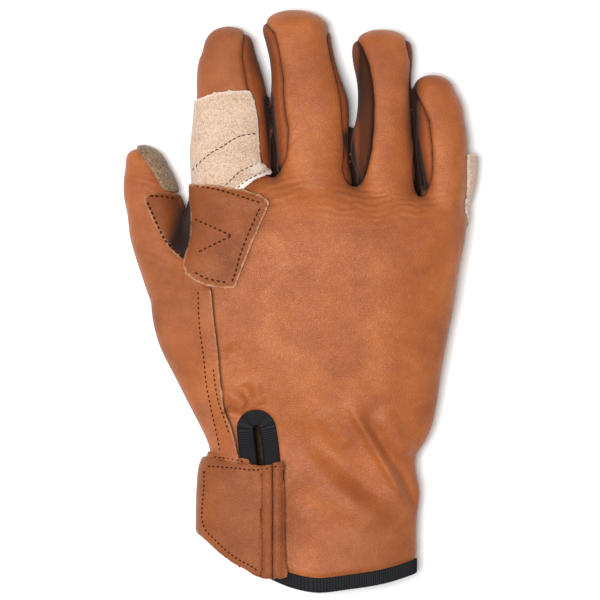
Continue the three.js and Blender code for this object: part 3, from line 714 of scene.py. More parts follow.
# Suede and cut edges: brushed nap without shine, speckled between two tones
def suedeLook(name, dark, light, pale=None, spread=(0.38, 0.72), bumpDepth=0.0004):
    look, tree, shader = startLook(name, 0.95)
    group = addNode(tree, "ShaderNodeGroup", {"node_tree": napGroup})
    colour = addRamp(tree, group.outputs["Patches"], [(spread[0], dark), (spread[1], light)])
    if pale:
        mark = addNode(tree, "ShaderNodeAttribute", {"attribute_name": "pale"})
        colour = addMix(tree, mark.outputs["Fac"], colour, pale)
    tree.links.new(colour, shader.inputs["Base Color"])
    height = group.outputs["Height"]
    bump = addNode(tree, "ShaderNodeBump", Strength=0.7, Distance=bumpDepth, Height=height)
    tree.links.new(bump.outputs[0], shader.inputs["Normal"])
    shader.inputs["Sheen Weight"].default_value = 0.3
    shader.inputs["Specular IOR Level"].default_value = 0.15
    return look


# Tape and thread: a near-black or brown yarn with a dull bump
def yarnLook(name, dark, light, roughness, shine=0.3):
    look, tree, shader = startLook(name, roughness)
    group = addNode(tree, "ShaderNodeGroup", {"node_tree": napGroup}, Fibre=2600.0)
    colour = addRamp(tree, group.outputs["Patches"], [(0.4, dark), (0.75, light)])
    tree.links.new(colour, shader.inputs["Base Color"])
    bump = addNode(tree, "ShaderNodeBump", Strength=0.4, Distance=0.0002, Height=group.outputs["Height"])
    tree.links.new(bump.outputs[0], shader.inputs["Normal"])
    shader.inputs["Specular IOR Level"].default_value = shine
    return look


looks = {
    "leather": leatherLook(
        "leatherTan", tone(145, 74, 30), tone(161, 87, 38), tone(176, 100, 49), tone(60, 25, 9),
    ),
    # a darker copy of the back's tan, partly painted shade for the strips deep between the fingers; its
    # near-black mark tone paints their shade
    "gusset": leatherLook(
        "leatherGusset", tone(128, 61, 21), tone(143, 71, 27), tone(157, 83, 35), tone(28, 10, 4), 0.24,
    ),
    "patch": leatherLook(
        "leatherPatch", tone(118, 58, 18), tone(134, 68, 24), tone(148, 80, 32), tone(22, 9, 5), 0.28,
    ),
    "suede": suedeLook(
        "suedeBeige", tone(170, 136, 110), tone(216, 191, 170), tone(238, 228, 218), (0.45, 0.63),
    ),
    # a darker, more speckled suede for the thumb's inner side
    "suedeDarkSpeckled": suedeLook(
        "suedeDarkSpeckled", tone(50, 36, 27), tone(166, 134, 104), tone(150, 130, 110), (0.44, 0.64),
    ),
    # the flesh side is darker than bare flesh leather, partly painted shade for the glove's inside seen
    # through the vent's slot
    "flesh": suedeLook("leatherFleshSide", tone(86, 58, 40), tone(128, 94, 70)),
    "cutEdge": suedeLook("leatherCutEdge", tone(130, 84, 54), tone(204, 160, 124)),
    "tape": yarnLook("grosgrainBlack", tone(4, 4, 6), tone(21, 22, 27), 0.62, 0.2),
    "thread": yarnLook("threadBrown", tone(50, 19, 6), tone(84, 38, 16), 0.8, 0.02),
}

print("stage: body")


# Low webs of leather at the bottom of the gaps between the fingers: middle and half sizes
webs = [
    ((-11.5, 61.0, 5.4), (6.0, 17.0, 3.7)),
    ((25.0, 57.0, 5.4), (6.5, 16.0, 3.7)),
    ((53.0, 55.0, 5.0), (5.5, 17.0, 3.3)),
    ((-12.7, 73.0, 6.2), (3.8, 12.5, 3.2)),
    ((22.0, 66.0, 6.2), (3.8, 10.0, 3.2)),
    ((49.3, 76.0, 6.2), (3.4, 17.0, 3.2)),
]
# Deep slits where neighbouring fingers press together: depth, width and line
slits = [
    (9.0, 2.0, [(-13.8, 91.0), (-13.0, 80.0), (-12.2, 72.0), (-11.0, 62.0), (-10.2, 55.5)]),
    (8.0, 2.0, [(20.9, 74.0), (21.4, 66.0), (22.6, 58.0), (24.4, 50.5)]),
    (8.0, 2.0, [(48.5, 97.0), (48.8, 82.0), (49.6, 68.0), (51.6, 57.0), (53.2, 49.0)]),
    (7.0, 4.5, [(-50.5, 46.0), (-50.0, 38.0), (-49.5, 30.0), (-48.8, 24.0)]),
]
slitFloor = 10.5
# The bottom of a slit gets painted shade: the sinking that gives full shade, reach from its line and height
# that it ends at
slitShade = {"sunk": 4.0, "reach": 4.0, "height": 13.5, "fade": 2.5}


# A web is an ellipsoid: rings along Y whose size is the root of one less the square of the share
def webTube(middle, half):
    share = np.linspace(-0.999, 0.999, 40)[:, None]
    angle = np.linspace(0, 2 * np.pi, 48, endpoint=False)[None, :]
    size = np.sqrt(1 - share**2)
    around = [
        half[0] * size * np.cos(angle), half[1] * share + 0 * angle, half[2] * size * np.sin(angle),
    ]
    return np.stack(around, axis=-1) + np.array(middle)


bodySkin = {
    "voxel": 0.86,  # millimetres; smaller is finer, and a piece stays under 200,000 triangles
    "rounds": 9, "swell": 0.12,  # easing, and what it takes off the skin
}


# One skin of the hand and its fingers: their closed tubes are fused at the voxel's size and eased.
# The slits sink its upper side by a bell curve of the distance from their lines, down to a floor
def buildBody(voxel=bodySkin["voxel"], rounds=bodySkin["rounds"]):
    angle = np.linspace(0, 2 * np.pi, 128, endpoint=False)[None, :]
    tubes = [handSkin(np.linspace(handRows[0][0], 1, 200)[:, None], angle)]
    for name, rows in fingerRows.items():
        tubes.append(fingerSkin(name, np.linspace(rows[0][0], 0.9999, 150)[:, None], angle))
    tubes += [webTube(middle, half) for middle, half in webs]
    points, faces, count = [], [], 0
    for tube in tubes:
        tubePoints, tubeFaces = closedTube(tube)
        points.append(tubePoints)
        faces.append(tubeFaces + count)
        count += len(tubePoints)
    tubeMesh = makeMesh("scratchBody", np.concatenate(points), np.concatenate(faces))
    scratch = bpy.data.objects.new("scratchBody", tubeMesh)
    bpy.context.scene.collection.objects.link(scratch)
    fuse = scratch.modifiers.new("fuse", "REMESH")
    fuse.mode = "VOXEL"
    fuse.voxel_size = voxel * mm
    graph = bpy.context.evaluated_depsgraph_get()
    made = scratch.evaluated_get(graph).to_mesh()
    co = np.empty(len(made.vertices) * 3, np.float32)
    made.vertices.foreach_get("co", co)
    made.calc_loop_triangles()
    triangles = np.empty(len(made.loop_triangles) * 3, np.int32)
    made.loop_triangles.foreach_get("vertices", triangles)
    bpy.data.objects.remove(scratch)
    skin = co.reshape(-1, 3).astype(float) / mm - originShift
    triangles = triangles.reshape(-1, 3).astype(np.int64)
    skin = relax(skin, triangles, rounds)
    normal = pointNormals(skin, triangles)
    skin += bodySkin["swell"] * normal
    whole = skin[:, 2].copy()
    for depth, width, line in slits:
        away, _, along = lineReach(skin[:, 0], skin[:, 1], easeLine(line, 3))
        top = easeStep(normal[:, 2], -0.1, 0.5) * easeStep(skin[:, 2], 8.5, 13)
        ends = easeStep(along, 0, 0.12)
        sunk = skin[:, 2] - depth * np.exp(-((away / width) ** 2)) * top * ends
        skin[:, 2] = np.maximum(sunk, np.minimum(skin[:, 2], slitFloor))
    skin = relax(skin, triangles, 3)
    # gloom is painted shade: darker the more the skin sinks, and near the bottom of the first three slits
    gloom = np.maximum(whole - skin[:, 2], 0) / slitShade["sunk"]
    for _, _, line in slits[:3]:
        away, _, _ = lineReach(skin[:, 0], skin[:, 1], easeLine(line, 3))
        low = easeStep(slitShade["height"] - skin[:, 2], 0, slitShade["fade"])
        low = low * easeStep(skin[:, 2], 3.0, 5.0)
        gloom = np.maximum(gloom, np.exp(-((away / slitShade["reach"]) ** 4)) * low)
    normal = relax(pointNormals(skin, triangles), triangles, 2)
    return {"points": skin, "faces": triangles, "normal": normal, "gloom": np.clip(gloom, 0, 1)}


body = buildBody()
print("body:", len(body["points"]), "points")

# Seams where the strips between the fingers meet the back: down one finger, round the crotch
# and up the next, then out over the gap
crotchSeams = {
    "fourchette_index_middle": [
        (-23.7, 115.5), (-24.6, 104.7), (-22.8, 93.5), (-21.6, 88.8), (-18.3, 77.1), (-18.1, 63.4),
        (-15.3, 56.0), (-12.5, 53.0), (-9.1, 55.2), (-6.5, 59.9), (-5.6, 65.9), (-5.2, 73.3), (-6.5, 79.7),
        (-7.3, 87.9), (-7.3, 94.0), (-9.5, 107.8), (-11.2, 114.6), (-14.7, 119.0), (-15.0, 122.0),
        (-20.0, 122.0), (-22.0, 117.0),
    ],
    "fourchette_middle_ring": [
        (11.9, 112.0), (13.6, 103.4), (15.9, 94.8), (17.9, 86.2), (18.3, 80.6), (19.0, 65.9), (18.7, 55.2),
        (20.3, 50.9), (22.8, 48.7), (25.0, 49.1), (27.2, 52.2), (28.9, 57.8), (30.6, 64.4), (31.5, 74.1),
        (31.7, 85.3), (31.0, 93.1), (29.3, 101.7), (26.7, 108.4), (24.8, 111.6), (24.0, 116.0),
        (18.0, 122.0), (12.5, 118.0),
    ],
    "fourchette_ring_little": [
        (45.7, 112.0), (47.6, 103.4), (47.2, 94.8), (47.4, 88.8), (48.7, 77.1), (49.1, 69.0), (48.5, 57.8),
        (48.5, 52.2), (49.6, 47.8), (51.7, 44.4), (53.9, 45.3), (55.6, 49.6), (56.5, 57.8), (56.5, 65.9),
        (55.2, 77.1), (51.7, 85.3), (48.3, 94.0), (49.0, 97.5), (51.0, 100.0), (51.0, 112.0), (47.0, 115.0),
    ],
}
lowerSeam = 6.5
# Height of the side seam: share of the glove's length from the hem, share of the hand's height
sideSeam = [(-0.1, 0.34), (0.4, 0.34), (0.62, 0.36), (0.75, 0.32), (0.9, 0.26), (1.1, 0.18)]
gloveLength = hand["length"] + fingers["middle"]["length"]
# The thumb panel's edge: across is a share of the hand's width from its axis, up of its length
thumbPanelRows = [
    (-0.393, 0.744), (-0.42, 0.8), (-0.457, 0.862), (-0.467, 0.892), (-0.467, 0.985), (-0.49, 1.11),
    (-1.5, 1.14), (-1.5, -0.1), (-0.36, -0.1), (-0.34, 0.11), (-0.31, 0.22), (-0.291, 0.333),
    (-0.318, 0.401), (-0.348, 0.456), (-0.359, 0.517), (-0.367, 0.586), (-0.382, 0.665),
]
cuff = {"width": 92.0, "rise": 34.0, "tapeThickness": 1.0, "tapeWidth": 6.5}
hemRows = [
    (-0.8, 1.35), (-0.62, 0.99), (-0.52, 0.72), (-0.43, 0.49), (-0.347, 0.33), (-0.243, 0.215),
    (-0.112, 0.065), (0, 0), (0.164, 0.038), (0.347, 0.115), (0.454, 0.19), (0.8, 0.4),
]
vent = {"length": 71.0, "mouth": 17.2, "x": -16.8, "lean": 0.12, "leanY": -70.0, "tapeWidth": 7.4}
# along, left, right: shares of the vent's length and of its mouth
ventRows = [
    (-0.1, -0.5, 0.12), (0.02, -0.46, 0.11), (0.42, -0.22, 0.08), (0.76, -0.07, 0.07),
    (0.985, -0.055, 0.055),
]


# An outline from a table of shares, from a corner and two sizes
def fromShares(rows, cornerX, cornerY, reach, drop):
    return [(cornerX + across * reach, cornerY + up * drop) for across, up in rows]


hemCorner = (hand["axisX"], hand["hemY"])
thumbPanelEdge = fromShares(thumbPanelRows, *hemCorner, hand["width"], hand["length"])
hemLine = np.array(fromShares(hemRows, *hemCorner, cuff["width"], cuff["rise"]))


# The hem's place along the glove, eased between the rows of its line
def hemHeight(x):
    return easeRows(hemLine, np.clip(x, hemLine[0, 0], hemLine[-1, 0]))[..., 0]


# The vent's slot: up its left side, round the top and down its right side
def ventOutline(grow):
    rows = np.array(ventRows)
    y = hand["hemY"] + rows[:, 0] * vent["length"]
    left = np.column_stack([vent["x"] + rows[:, 1] * vent["mouth"] - grow, y])
    right = np.column_stack([vent["x"] + rows[:, 2] * vent["mouth"] + grow, y])
    radius = rows[-1, 2] * vent["mouth"] + grow
    turn = np.linspace(np.pi, 0, 17)[1:-1]
    top = np.column_stack([vent["x"] + radius * np.cos(turn), y[-1] + radius * np.sin(turn)])
    line = np.concatenate([left, top, right[::-1]])
    line[:, 0] -= vent["lean"] * np.maximum(line[:, 1] - vent["leanY"], 0)
    return line


# The thumb panel laps over the back along this line
lapLine = easeLine([
    (-38.8, 7.0), (-37.5, -8.6), (-35.8, -22.4), (-34.9, -34.5), (-33.6, -45.3), (-30.2, -54.7),
    (-27.2, -66.8), (-26.5, -75.0),
], 3)
lapOver = 1.1  # how far the thumb panel reaches over the back


# Each field is a distance that is above nought on one side of a seam: from an outline in plan, from
# the height of the side seam, from the hem's line or from the vent's slot
def bodyFields(points):
    x, y, z = points.T
    fields = {}
    for name, outline in crotchSeams.items():
        fields[name] = np.minimum(outlineField(x, y, outline), z - lowerSeam)
    share = (y - hand["hemY"]) / gloveLength
    fields["aboveSide"] = z - easeRows(sideSeam, share)[..., 0] * hand["height"]
    fields["thumb"] = outlineField(x, y, thumbPanelEdge)
    fields["aboveHem"] = y - hemHeight(x) - cuff["tapeThickness"] - layerGap
    slot = outlineField(x, y, ventOutline(cuff["tapeThickness"] + layerGap))
    fields["outsideVent"] = np.where(z > 0.4 * hand["height"], -slot, 25.0)
    lapAway, _, lapAlong = lineReach(x, y, lapLine)
    onLap = easeStep(z, 12, 15) * easeStep(lapAlong, 0, 0.04)
    fields["lap"] = (1 - easeStep(lapAway, 3.5, 9)) * onLap
    fields["thumbLapped"] = fields["thumb"] + lapOver * (1 - easeStep(lapAway, 2, 4)) * onLap
    return fields


body.update(bodyFields(body["points"]))
seamLook = {
    "depth": 0.7, "width": 1.0, "puff": 0.4, "puffWidth": 3.2, "shade": 0.42, "shadeWidth": 0.9,
    "recess": 0.9, "tapeReach": (5.0, 7.5),  # how deep and how far tape presses the leather
    "lapLift": 1.5, "lapPale": 0.7, "lapShade": 0.8, "gloom": 0.92,
}
panelGap = 0.1
# Spots of painted shade on the leather: middle, reach and share of the dark seam tone
paintedShadeSpots = [
    (-34.0, 106.0, 18.0, 0.3), (-62.0, 4.0, 36.0, 0.22), (33.0, -104.0, 18.0, 0.24),
    (36.0, 96.0, 15.0, 0.12),
]


# A panel's edge turns in by a bell curve of the distance from it, and puffs up beside that by the
# share times e to the power of one less the share; the marks darken its seam, add painted shade and pale its
# cut edge
def seamPanel(sheet, lapped=False):
    reach = relax(edgeReach(sheet["points"], sheet["faces"]), sheet["faces"], 2)
    dip = seamLook["depth"] * np.exp(-((reach / seamLook["width"]) ** 2))
    share = reach / seamLook["puffWidth"]
    puff = seamLook["puff"] * share * np.exp(1 - share)
    # the leather is pressed thinner under the folded tape
    taped = np.minimum(sheet["aboveHem"], sheet["outsideVent"])
    press = seamLook["recess"] * (1 - easeStep(taped, *seamLook["tapeReach"]))
    lap = sheet["lap"] if lapped else 0 * reach
    lift = (puff - dip) * (1 - lap) - press + seamLook["lapLift"] * lap
    sheet["points"] = sheet["points"] + sheet["normal"] * lift[:, None]
    shade = seamLook["shade"] * np.exp(-((reach / seamLook["shadeWidth"]) ** 2))
    sheet["pale"] = seamLook["lapPale"] * lap * easeStep(0.5 - reach, 0, 0.5)
    sheet["seam"] = np.maximum(shade * (1 - lap), shade * (1 - easeStep(taped, 6.0, 7.5)))
    if not lapped:
        # painted shadow on the back beside the raised edge of the lapped thumb panel
        under = seamLook["lapShade"] * sheet["lap"] * easeStep(2.6 - reach, 0, 1.6)
        sheet["seam"] = np.maximum(sheet["seam"], under)
    # painted shade at the bottom of the slits between the fingers
    deep = seamLook["gloom"] * easeStep(sheet["gloom"], 0.35, 0.95)
    sheet["seam"] = np.maximum(sheet["seam"], deep)
    x, y, _ = sheet["points"].T
    # round spots of painted shade
    for mx, my, wide, share in paintedShadeSpots:
        spot = share * np.exp(-((x - mx) ** 2 + (y - my) ** 2) / wide**2)
        sheet["seam"] = np.maximum(sheet["seam"], spot)
    return sheet


# A wall of the asked thickness, inwards from the sheet or outwards; its inner side and its rim
# take the piece's second and third material
def addWall(piece, thickness, outward=False):
    solid = piece.modifiers.new("wall", "SOLIDIFY")
    solid.thickness = thickness * mm
    solid.offset = 1 if outward else -1
    solid.use_quality_normals = True
    solid.material_offset = 1
    solid.material_offset_rim = 2
    return solid


# A panel from its sheet, laid as the leather lies, with its wall inwards
def layPanel(name, sheet, outer, rim="gusset", inner="flesh"):
    piece = makePiece(
        name, settle(sheet["points"]), sheet["faces"], [looks[look] for look in (outer, inner, rim)],
        [name], {"seam": sheet["seam"], "pale": sheet["pale"]},
    )
    addWall(piece, wall)
    return piece


# The part of the body where every named field is above half the gap, or below it after a minus
def cutPanel(*fieldNames):
    sheet = body
    for fieldName in fieldNames:
        sign = -1 if fieldName[0] == "-" else 1
        key = fieldName.lstrip("-")
        sheet = trimSheet(sheet, sign * sheet[key] - panelGap / 2)
    return sheet


print("stage: panels")
between = ["-" + name for name in crotchSeams]
backSheet = cutPanel("aboveSide", "-thumb", "aboveHem", "outsideVent", *between)
layPanel("back_panel", seamPanel(backSheet), "leather")
palmSheet = cutPanel("-aboveSide", "-thumb", "aboveHem", *between)
layPanel("palm_panel", seamPanel(palmSheet), "leather")
thumbSheet = cutPanel("thumbLapped", "aboveHem", "outsideVent")
layPanel("thumb_panel", seamPanel(thumbSheet, lapped=True), "leather", "cutEdge")
# Painted shade on the strips between the fingers: darkest on the ring finger's side of its gap, and darker
# towards each strip's foot: share of the dark tone, and the place across from which the ring finger's side
# begins
gussetShade = {
    "fourchette_index_middle": (0.25, 200.0),
    "fourchette_middle_ring": (0.3, 24.0),
    "fourchette_ring_little": (0.35, 200.0),
}
gussetPaintedShade = {"foot": 0.6, "ringSide": 0.75, "most": 0.95}
for seamName in crotchSeams:
    strip = seamPanel(cutPanel(seamName))
    base, ringSide = gussetShade[seamName]
    x, y, z = strip["points"].T
    # painted shade: darker the lower on the strip, and darkest on the ring finger's side
    deep = base * easeStep(20 - z, 0, 6) + gussetPaintedShade["foot"] * easeStep(13 - z, 0, 6)
    deep = deep + gussetPaintedShade["ringSide"] * easeStep(x, ringSide, ringSide + 2)
    strip["seam"] = np.clip(strip["seam"] + deep, 0, gussetPaintedShade["most"])
    layPanel(seamName, strip, "gusset", inner="gusset")

print("stage: layers")

# Outlines in plan, as shares of a reach and a drop from a corner
bandRows = [
    (-0.1, -0.08), (0.17, -0.08), (0.42, -0.02), (0.64, 0.0), (0.87, 0.0), (0.93, -0.14), (0.965, -0.3),
    (0.975, -0.46), (0.985, -0.62), (1.0, -0.73), (1.1, -0.81), (1.12, -0.86), (0.96, -0.92),
    (0.82, -1.0), (0.73, -1.07), (0.7, -1.15), (-0.1, -1.15),
]
bandEdge = fromShares(bandRows, -48.7, 89.0, 31.0, 41.0)
webPatchRows = [
    (-0.885, 0.19), (-0.86, 0.186), (-0.655, 0.167), (-0.357, 0.118), (-0.095, 0.049), (0, 0),
    (-0.202, -0.382), (-0.321, -0.627), (-0.4, -0.794), (-0.43, -0.813), (-0.714, -0.794),
    (-0.857, -0.745), (-0.964, -0.676), (-0.995, -0.6), (-0.98, -0.52), (-0.93, -0.42), (-0.89, -0.28),
    (-0.885, -0.1),
]
webPatchEdge = fromShares(webPatchRows, -12.9, 41.0, 36.2, 44.0)
palmSuedeRows = [
    (0, -0.17), (0.36, -0.21), (0.7, -0.22), (0.8, -0.08), (0.86, 0), (1.1, 0), (1.1, -0.29), (0.93, -0.33),
    (0.9, -0.85), (0.75, -1), (0.15, -1), (0, -0.85),
]
palmSuedeEdge = fromShares(palmSuedeRows, -10.3, 62.5, 83.0, 118.0)
thumbPatchRows = [
    (-0.27, 0.34), (-0.12, 0.4), (0.05, 0.412), (0.5, 0.37), (0.9, 0.2), (0.9, -0.45), (0.45, -0.48),
    (0.27, -0.38), (0.13, -0.27), (-0.1, 0.04),
]
thumbSuedeRows = [(-0.39, 1.2), (-0.385, 0.97), (-0.13, 0.69), (0.04, 0.45), (0.9, 0.4), (0.9, 1.2)]
thumbPlace = [fingers["thumb"][size] for size in ("rootX", "rootY", "width", "length")]
tabPlace = (-7.0, -118.5, 36.6, 50.9)
tabRows = [
    (-1.17, 0.95), (-0.85, 0.975), (-0.45, 0.945), (-0.25, 0.928), (-0.1, 0.95), (-0.015, 0.985), (0.0, 0.5),
    (0.01, 0.17), (0.05, 0.017), (-0.1, 0.0), (-0.24, 0.008), (-0.33, 0.034), (-0.44, 0.085), (-0.56, 0.127),
    (-0.72, 0.212), (-0.83, 0.288), (-0.955, 0.373), (-1.04, 0.458), (-1.17, 0.534),
]
underlayRows = [(-1.1, 1.03), (-0.85, 1.035), (-0.4, 0.985), (-0.4, 0.1), (-1.1, 0.5)]


tops = {}  # the outer points of each layer, for the stitches
# depth and width of the turned edge, how ragged its pale rim is, and the height above the floor
layerEdge = {"dip": 0.35, "dipWidth": 0.8, "fuzz": 0.5, "fuzzSize": 1.3, "clearance": 0.15}


# A layer over an outline: the body's skin moved out along its normals by the layer's lift and its
# own shape, dipping by a bell curve at its edge. Its made table gives lift, thickness, and how pale
# and wide its cut edge is; limits are further fields that it is trimmed by
def layLayer(name, outline, made, outer, rim, limits=(), shape=None, looksOf=None):
    near = trimSheet(body, outlineField(body["points"][:, 0], body["points"][:, 1], outline))
    for limit in limits:
        near = trimSheet(near, limit(near["points"]))
    points, thickness = near["points"], made["thickness"]
    height = made["lift"] + 0 * points[:, 0]
    if shape is not None:
        height = height + shape(points)
    reach = relax(edgeReach(points, near["faces"]), near["faces"], 1)
    fuzz = softNoise(points[:, 0] + 500, points[:, 1] + 500, layerEdge["fuzzSize"], 9) - 0.5
    fuzz = layerEdge["fuzz"] * fuzz
    dip = layerEdge["dip"] * np.exp(-((reach / layerEdge["dipWidth"]) ** 2))
    points = points + near["normal"] * (height - dip)[:, None]
    pale = made["edgePale"] * easeStep(made["edgeWidth"] + fuzz - reach, 0, 0.7)
    marks = {"pale": pale, "seam": 0 * reach}
    if looksOf is not None:
        marks.update(looksOf(near["points"], marks))
    # a layer is flattened where it rests: its outer side stays above the floor
    under = np.maximum(-near["normal"][:, 2], 0)
    points[:, 2] = np.maximum(points[:, 2], layerEdge["clearance"] + thickness * under)
    settled = settle(points)
    pieceLooks = [looks[look] for look in (outer, "flesh", rim)]
    piece = makePiece(name, settled, near["faces"], pieceLooks, [name], marks)
    addWall(piece, thickness, outward=True)
    tops[name] = (settled + near["normal"] * thickness, near["normal"])


# The finger's suede is lapped twice near its foot, each lap with a bleached cut edge
indexSuede = {
    "lift": layerGap, "thickness": 1.4, "edgePale": 0.85, "edgeWidth": 1.2, "leftEnd": -50.5,
    "secondLap": 0.5, "thirdLap": 0.6, "lapStep": 0.8,  # heights of the laps, width of their steps
    "secondPale": 0.4, "thirdPale": 0.85,
}
suedeRows = {
    "first": [(-46.5, 55.2), (-39.7, 61.4), (-32.3, 65.9), (-25.9, 69.8), (-18.6, 71.1)],
    "second": [(-31.9, 48.5), (-25.9, 54.5), (-17.8, 58.4)],
    "third": [(-26.7, 47.4), (-22.8, 50.9), (-14.4, 55.2)],
}


# The distance past a row of stitches towards the hand, above nought below it, and the row's share
def pastRow(points, row):
    away, side, along = lineReach(points[:, 0], points[:, 1], easeLine(suedeRows[row], 4))
    return -side * away, along


# Each lap adds its height past its row, on the upper side alone
def shapeSuede(points):
    half = indexSuede["lapStep"] / 2
    laps = indexSuede["secondLap"] * easeStep(pastRow(points, "second")[0], -half, half)
    laps = laps + indexSuede["thirdLap"] * easeStep(pastRow(points, "third")[0], -half, half)
    return laps * easeStep(points[:, 2], 8, 12)


# The laps' cut edges are pale: the second near the gap between the fingers, the third all along
def markSuede(points, marks):
    past, along = pastRow(points, "second")
    secondLap = easeStep(past, 0.2, 0.8) * easeStep(4.2 - past, 0, 0.8) * easeStep(along, 0.6, 0.85)
    thirdLap = easeStep(pastRow(points, "third")[0], 0.1, 0.6)
    laps = np.maximum(indexSuede["secondPale"] * secondLap, indexSuede["thirdPale"] * thirdLap)
    return {"pale": np.maximum(marks["pale"] * 0.5, laps * easeStep(points[:, 2], 8, 12))}


layLayer(
    "index_suede", bandEdge, indexSuede, "suede", "suede",
    [lambda p: p[:, 0] - indexSuede["leftEnd"]], shapeSuede, markSuede,
)

palmSuede = {
    "lift": layerGap, "thickness": 1.4, "edgePale": 0.3, "edgeWidth": 1.0,
    "flare": 2.9, "highest": 16.0, "underFingers": 11.0, "onSide": 8.0,
}


# The palm's suede stands out from the leather beside the little finger, the more the lower
def flarePalm(points):
    x, y, z = points.T
    place = easeStep(x, 62, 69) * easeStep(y, 30, 60)
    return palmSuede["flare"] * place * easeStep(16.5 - z, 0, 5) * easeStep(z, 4, 9)


# The palm's suede stays under the gap beside the little finger, and low on the hand's side
def belowFingers(points):
    x, y, z = points.T
    drop = palmSuede["underFingers"] * easeStep(62.0 - x, 0, 3) * easeStep(y, 26, 36)
    return palmSuede["highest"] - z - drop


def belowSide(points):
    x, y, z = points.T
    return palmSuede["highest"] - z - palmSuede["onSide"] * easeStep(38.0 - y, 0, 12)


layLayer(
    "palm_suede", palmSuedeEdge, palmSuede, "suede", "suede", [belowFingers, belowSide],
    flarePalm,
)

thumbSuede = {"lift": layerGap, "thickness": 1.4, "edgePale": 0.0, "edgeWidth": 1.0, "rightEnd": -51.0}
layLayer(
    "thumb_suede", fromShares(thumbSuedeRows, *thumbPlace), thumbSuede, "suedeDarkSpeckled",
    "suedeDarkSpeckled", [lambda p: thumbSuede["rightEnd"] - p[:, 0]],
)

thumbPatch = {
    "lift": layerGap, "thickness": 1.2, "edgePale": 0.6, "edgeWidth": 0.7, "rightEnd": -45.5,
    "shade": 0.14, "deepShade": 0.81,
}


# The thumb's patch is a little darker all over and gets painted shadow towards the hand
def markThumbPatch(points, marks):
    x, y = points[:, 0], points[:, 1]
    deep = easeStep(x + 0.35 * (30 - y), -59.0, -52.5)
    return {"seam": (thumbPatch["shade"] + thumbPatch["deepShade"] * deep) * (1 - marks["pale"])}


layLayer(
    "thumb_patch", fromShares(thumbPatchRows, *thumbPlace), thumbPatch, "patch",
    "cutEdge", [lambda p: thumbPatch["rightEnd"] - p[:, 0]], looksOf=markThumbPatch,
)

# The web's patch climbs over the suede band, and under the hand it stops beside it
webPatch = {
    "lift": 0.7, "thickness": 1.2, "edgePale": 0.7, "edgeWidth": 0.9,
    "climb": 1.4, "climbFrom": 37, "climbTo": 43, "underTo": 41.0, "underHeight": 5.0,
}
layLayer(
    "web_patch", webPatchEdge, webPatch, "patch", "cutEdge",
    [lambda p: np.maximum(p[:, 2] - webPatch["underHeight"], webPatch["underTo"] - p[:, 1])],
    lambda p: webPatch["climb"] * easeStep(p[:, 1], webPatch["climbFrom"], webPatch["climbTo"]),
)

# lowest is a share of the hand's height
underlay = {"lift": layerGap, "thickness": 1.0, "edgePale": 0.3, "edgeWidth": 0.5, "lowest": 0.2}
layLayer(
    "closure_underlay", fromShares(underlayRows, *tabPlace), underlay, "gusset",
    "cutEdge", [lambda p: p[:, 2] - underlay["lowest"] * hand["height"]],
)

tab = {
    "lift": 1.6, "thickness": 1.6, "edgePale": 0.25, "edgeWidth": 0.4, "lowest": 0.16,
    # height, place across and width of the two ridges, of the stitched groove and the one between
    "ridges": [(1.2, -13.2, 1.2), (1.1, -9.4, 1.2), (-0.6, -15.9, 0.8), (-0.5, -11.3, 0.7)],
    "freeLift": 0.9, "freeFrom": -22, "freeTo": -10,
}


# The tab's ridges and grooves are bell curves across it, and its free side is lifted
def shapeTab(points):
    x = points[:, 0]
    rise = tab["freeLift"] * easeStep(x, tab["freeFrom"], tab["freeTo"])
    for height, place, width in tab["ridges"]:
        rise = rise + height * np.exp(-(((x - place) / width) ** 2))
    return rise


layLayer(
    "closure_tab", fromShares(tabRows, *tabPlace), tab, "patch", "cutEdge",
    [lambda p: p[:, 2] - tab["lowest"] * hand["height"]], shapeTab,
)

print("stage: tape")


# A tape folded over an edge: its section goes down the outside, round the edge in a half circle
# and up the inside, then back along the leather; its first column is the distance from the edge
# and its second the distance from the skin
def tapeSection(width, thickness, steps=10):
    outerOff = layerGap + thickness - seamLook["recess"]
    innerOff = -wall - layerGap - thickness - seamLook["recess"]
    down = np.linspace(width, thickness, steps)
    turn = np.linspace(0, np.pi, 9)[1:-1]
    middle = (outerOff + innerOff) / 2
    half = (outerOff - innerOff) / 2
    outside = np.column_stack([down, np.full(steps, outerOff)])
    fold = np.column_stack([thickness - thickness * np.sin(turn), middle + half * np.cos(turn)])
    inside = np.column_stack([down[::-1], np.full(steps, innerOff)])
    back = np.linspace(width, thickness + layerGap, 4)
    backIn = np.column_stack([back, np.full(4, innerOff + thickness)])
    backOut = np.column_stack([back[::-1], np.full(4, outerOff - thickness)])
    section = np.concatenate([outside, fold, inside, backIn, backOut])
    ribbed = np.concatenate([np.ones(steps + len(turn) + steps), np.zeros(8)])
    ribbed[[0, 2 * steps + len(turn) - 1]] = 0.3
    return section, ribbed


ribs = {"pitch": 0.95, "height": 0.1}


# Carries the section along a line of places on the skin, which gives a point and its normal; the
# ribs are a cosine along the tape
def layTape(name, skin, tape):
    section, ribbed = tapeSection(tape["width"], cuff["tapeThickness"])
    share = np.linspace(0, 1, tape["steps"])[:, None]
    reach = section[None, :, 0] + 0 * share
    wave = np.cos(2 * np.pi * share * round(tape["length"] / ribs["pitch"]))
    outward = np.sign(section[None, :, 1] + 0.5)
    off = section[None, :, 1] + outward * ribbed[None, :] * ribs["height"] * wave
    place, normal = skin(share + 0 * reach, reach)
    grid = place + normal * off[..., None]
    points, faces = closedTube(grid)
    return makePiece(name, settle(points), faces, [looks["tape"]], [name])


# ends are shares of the vent's mouth from its middle; length sets how many ribs a tape has
hemTape = {"steps": 1500, "length": 225.0, "width": cuff["tapeWidth"], "rightEnd": 0.12, "leftEnd": 0.47}
ventTape = {"steps": 900, "length": 115.0, "width": vent["tapeWidth"], "footAbove": 10}


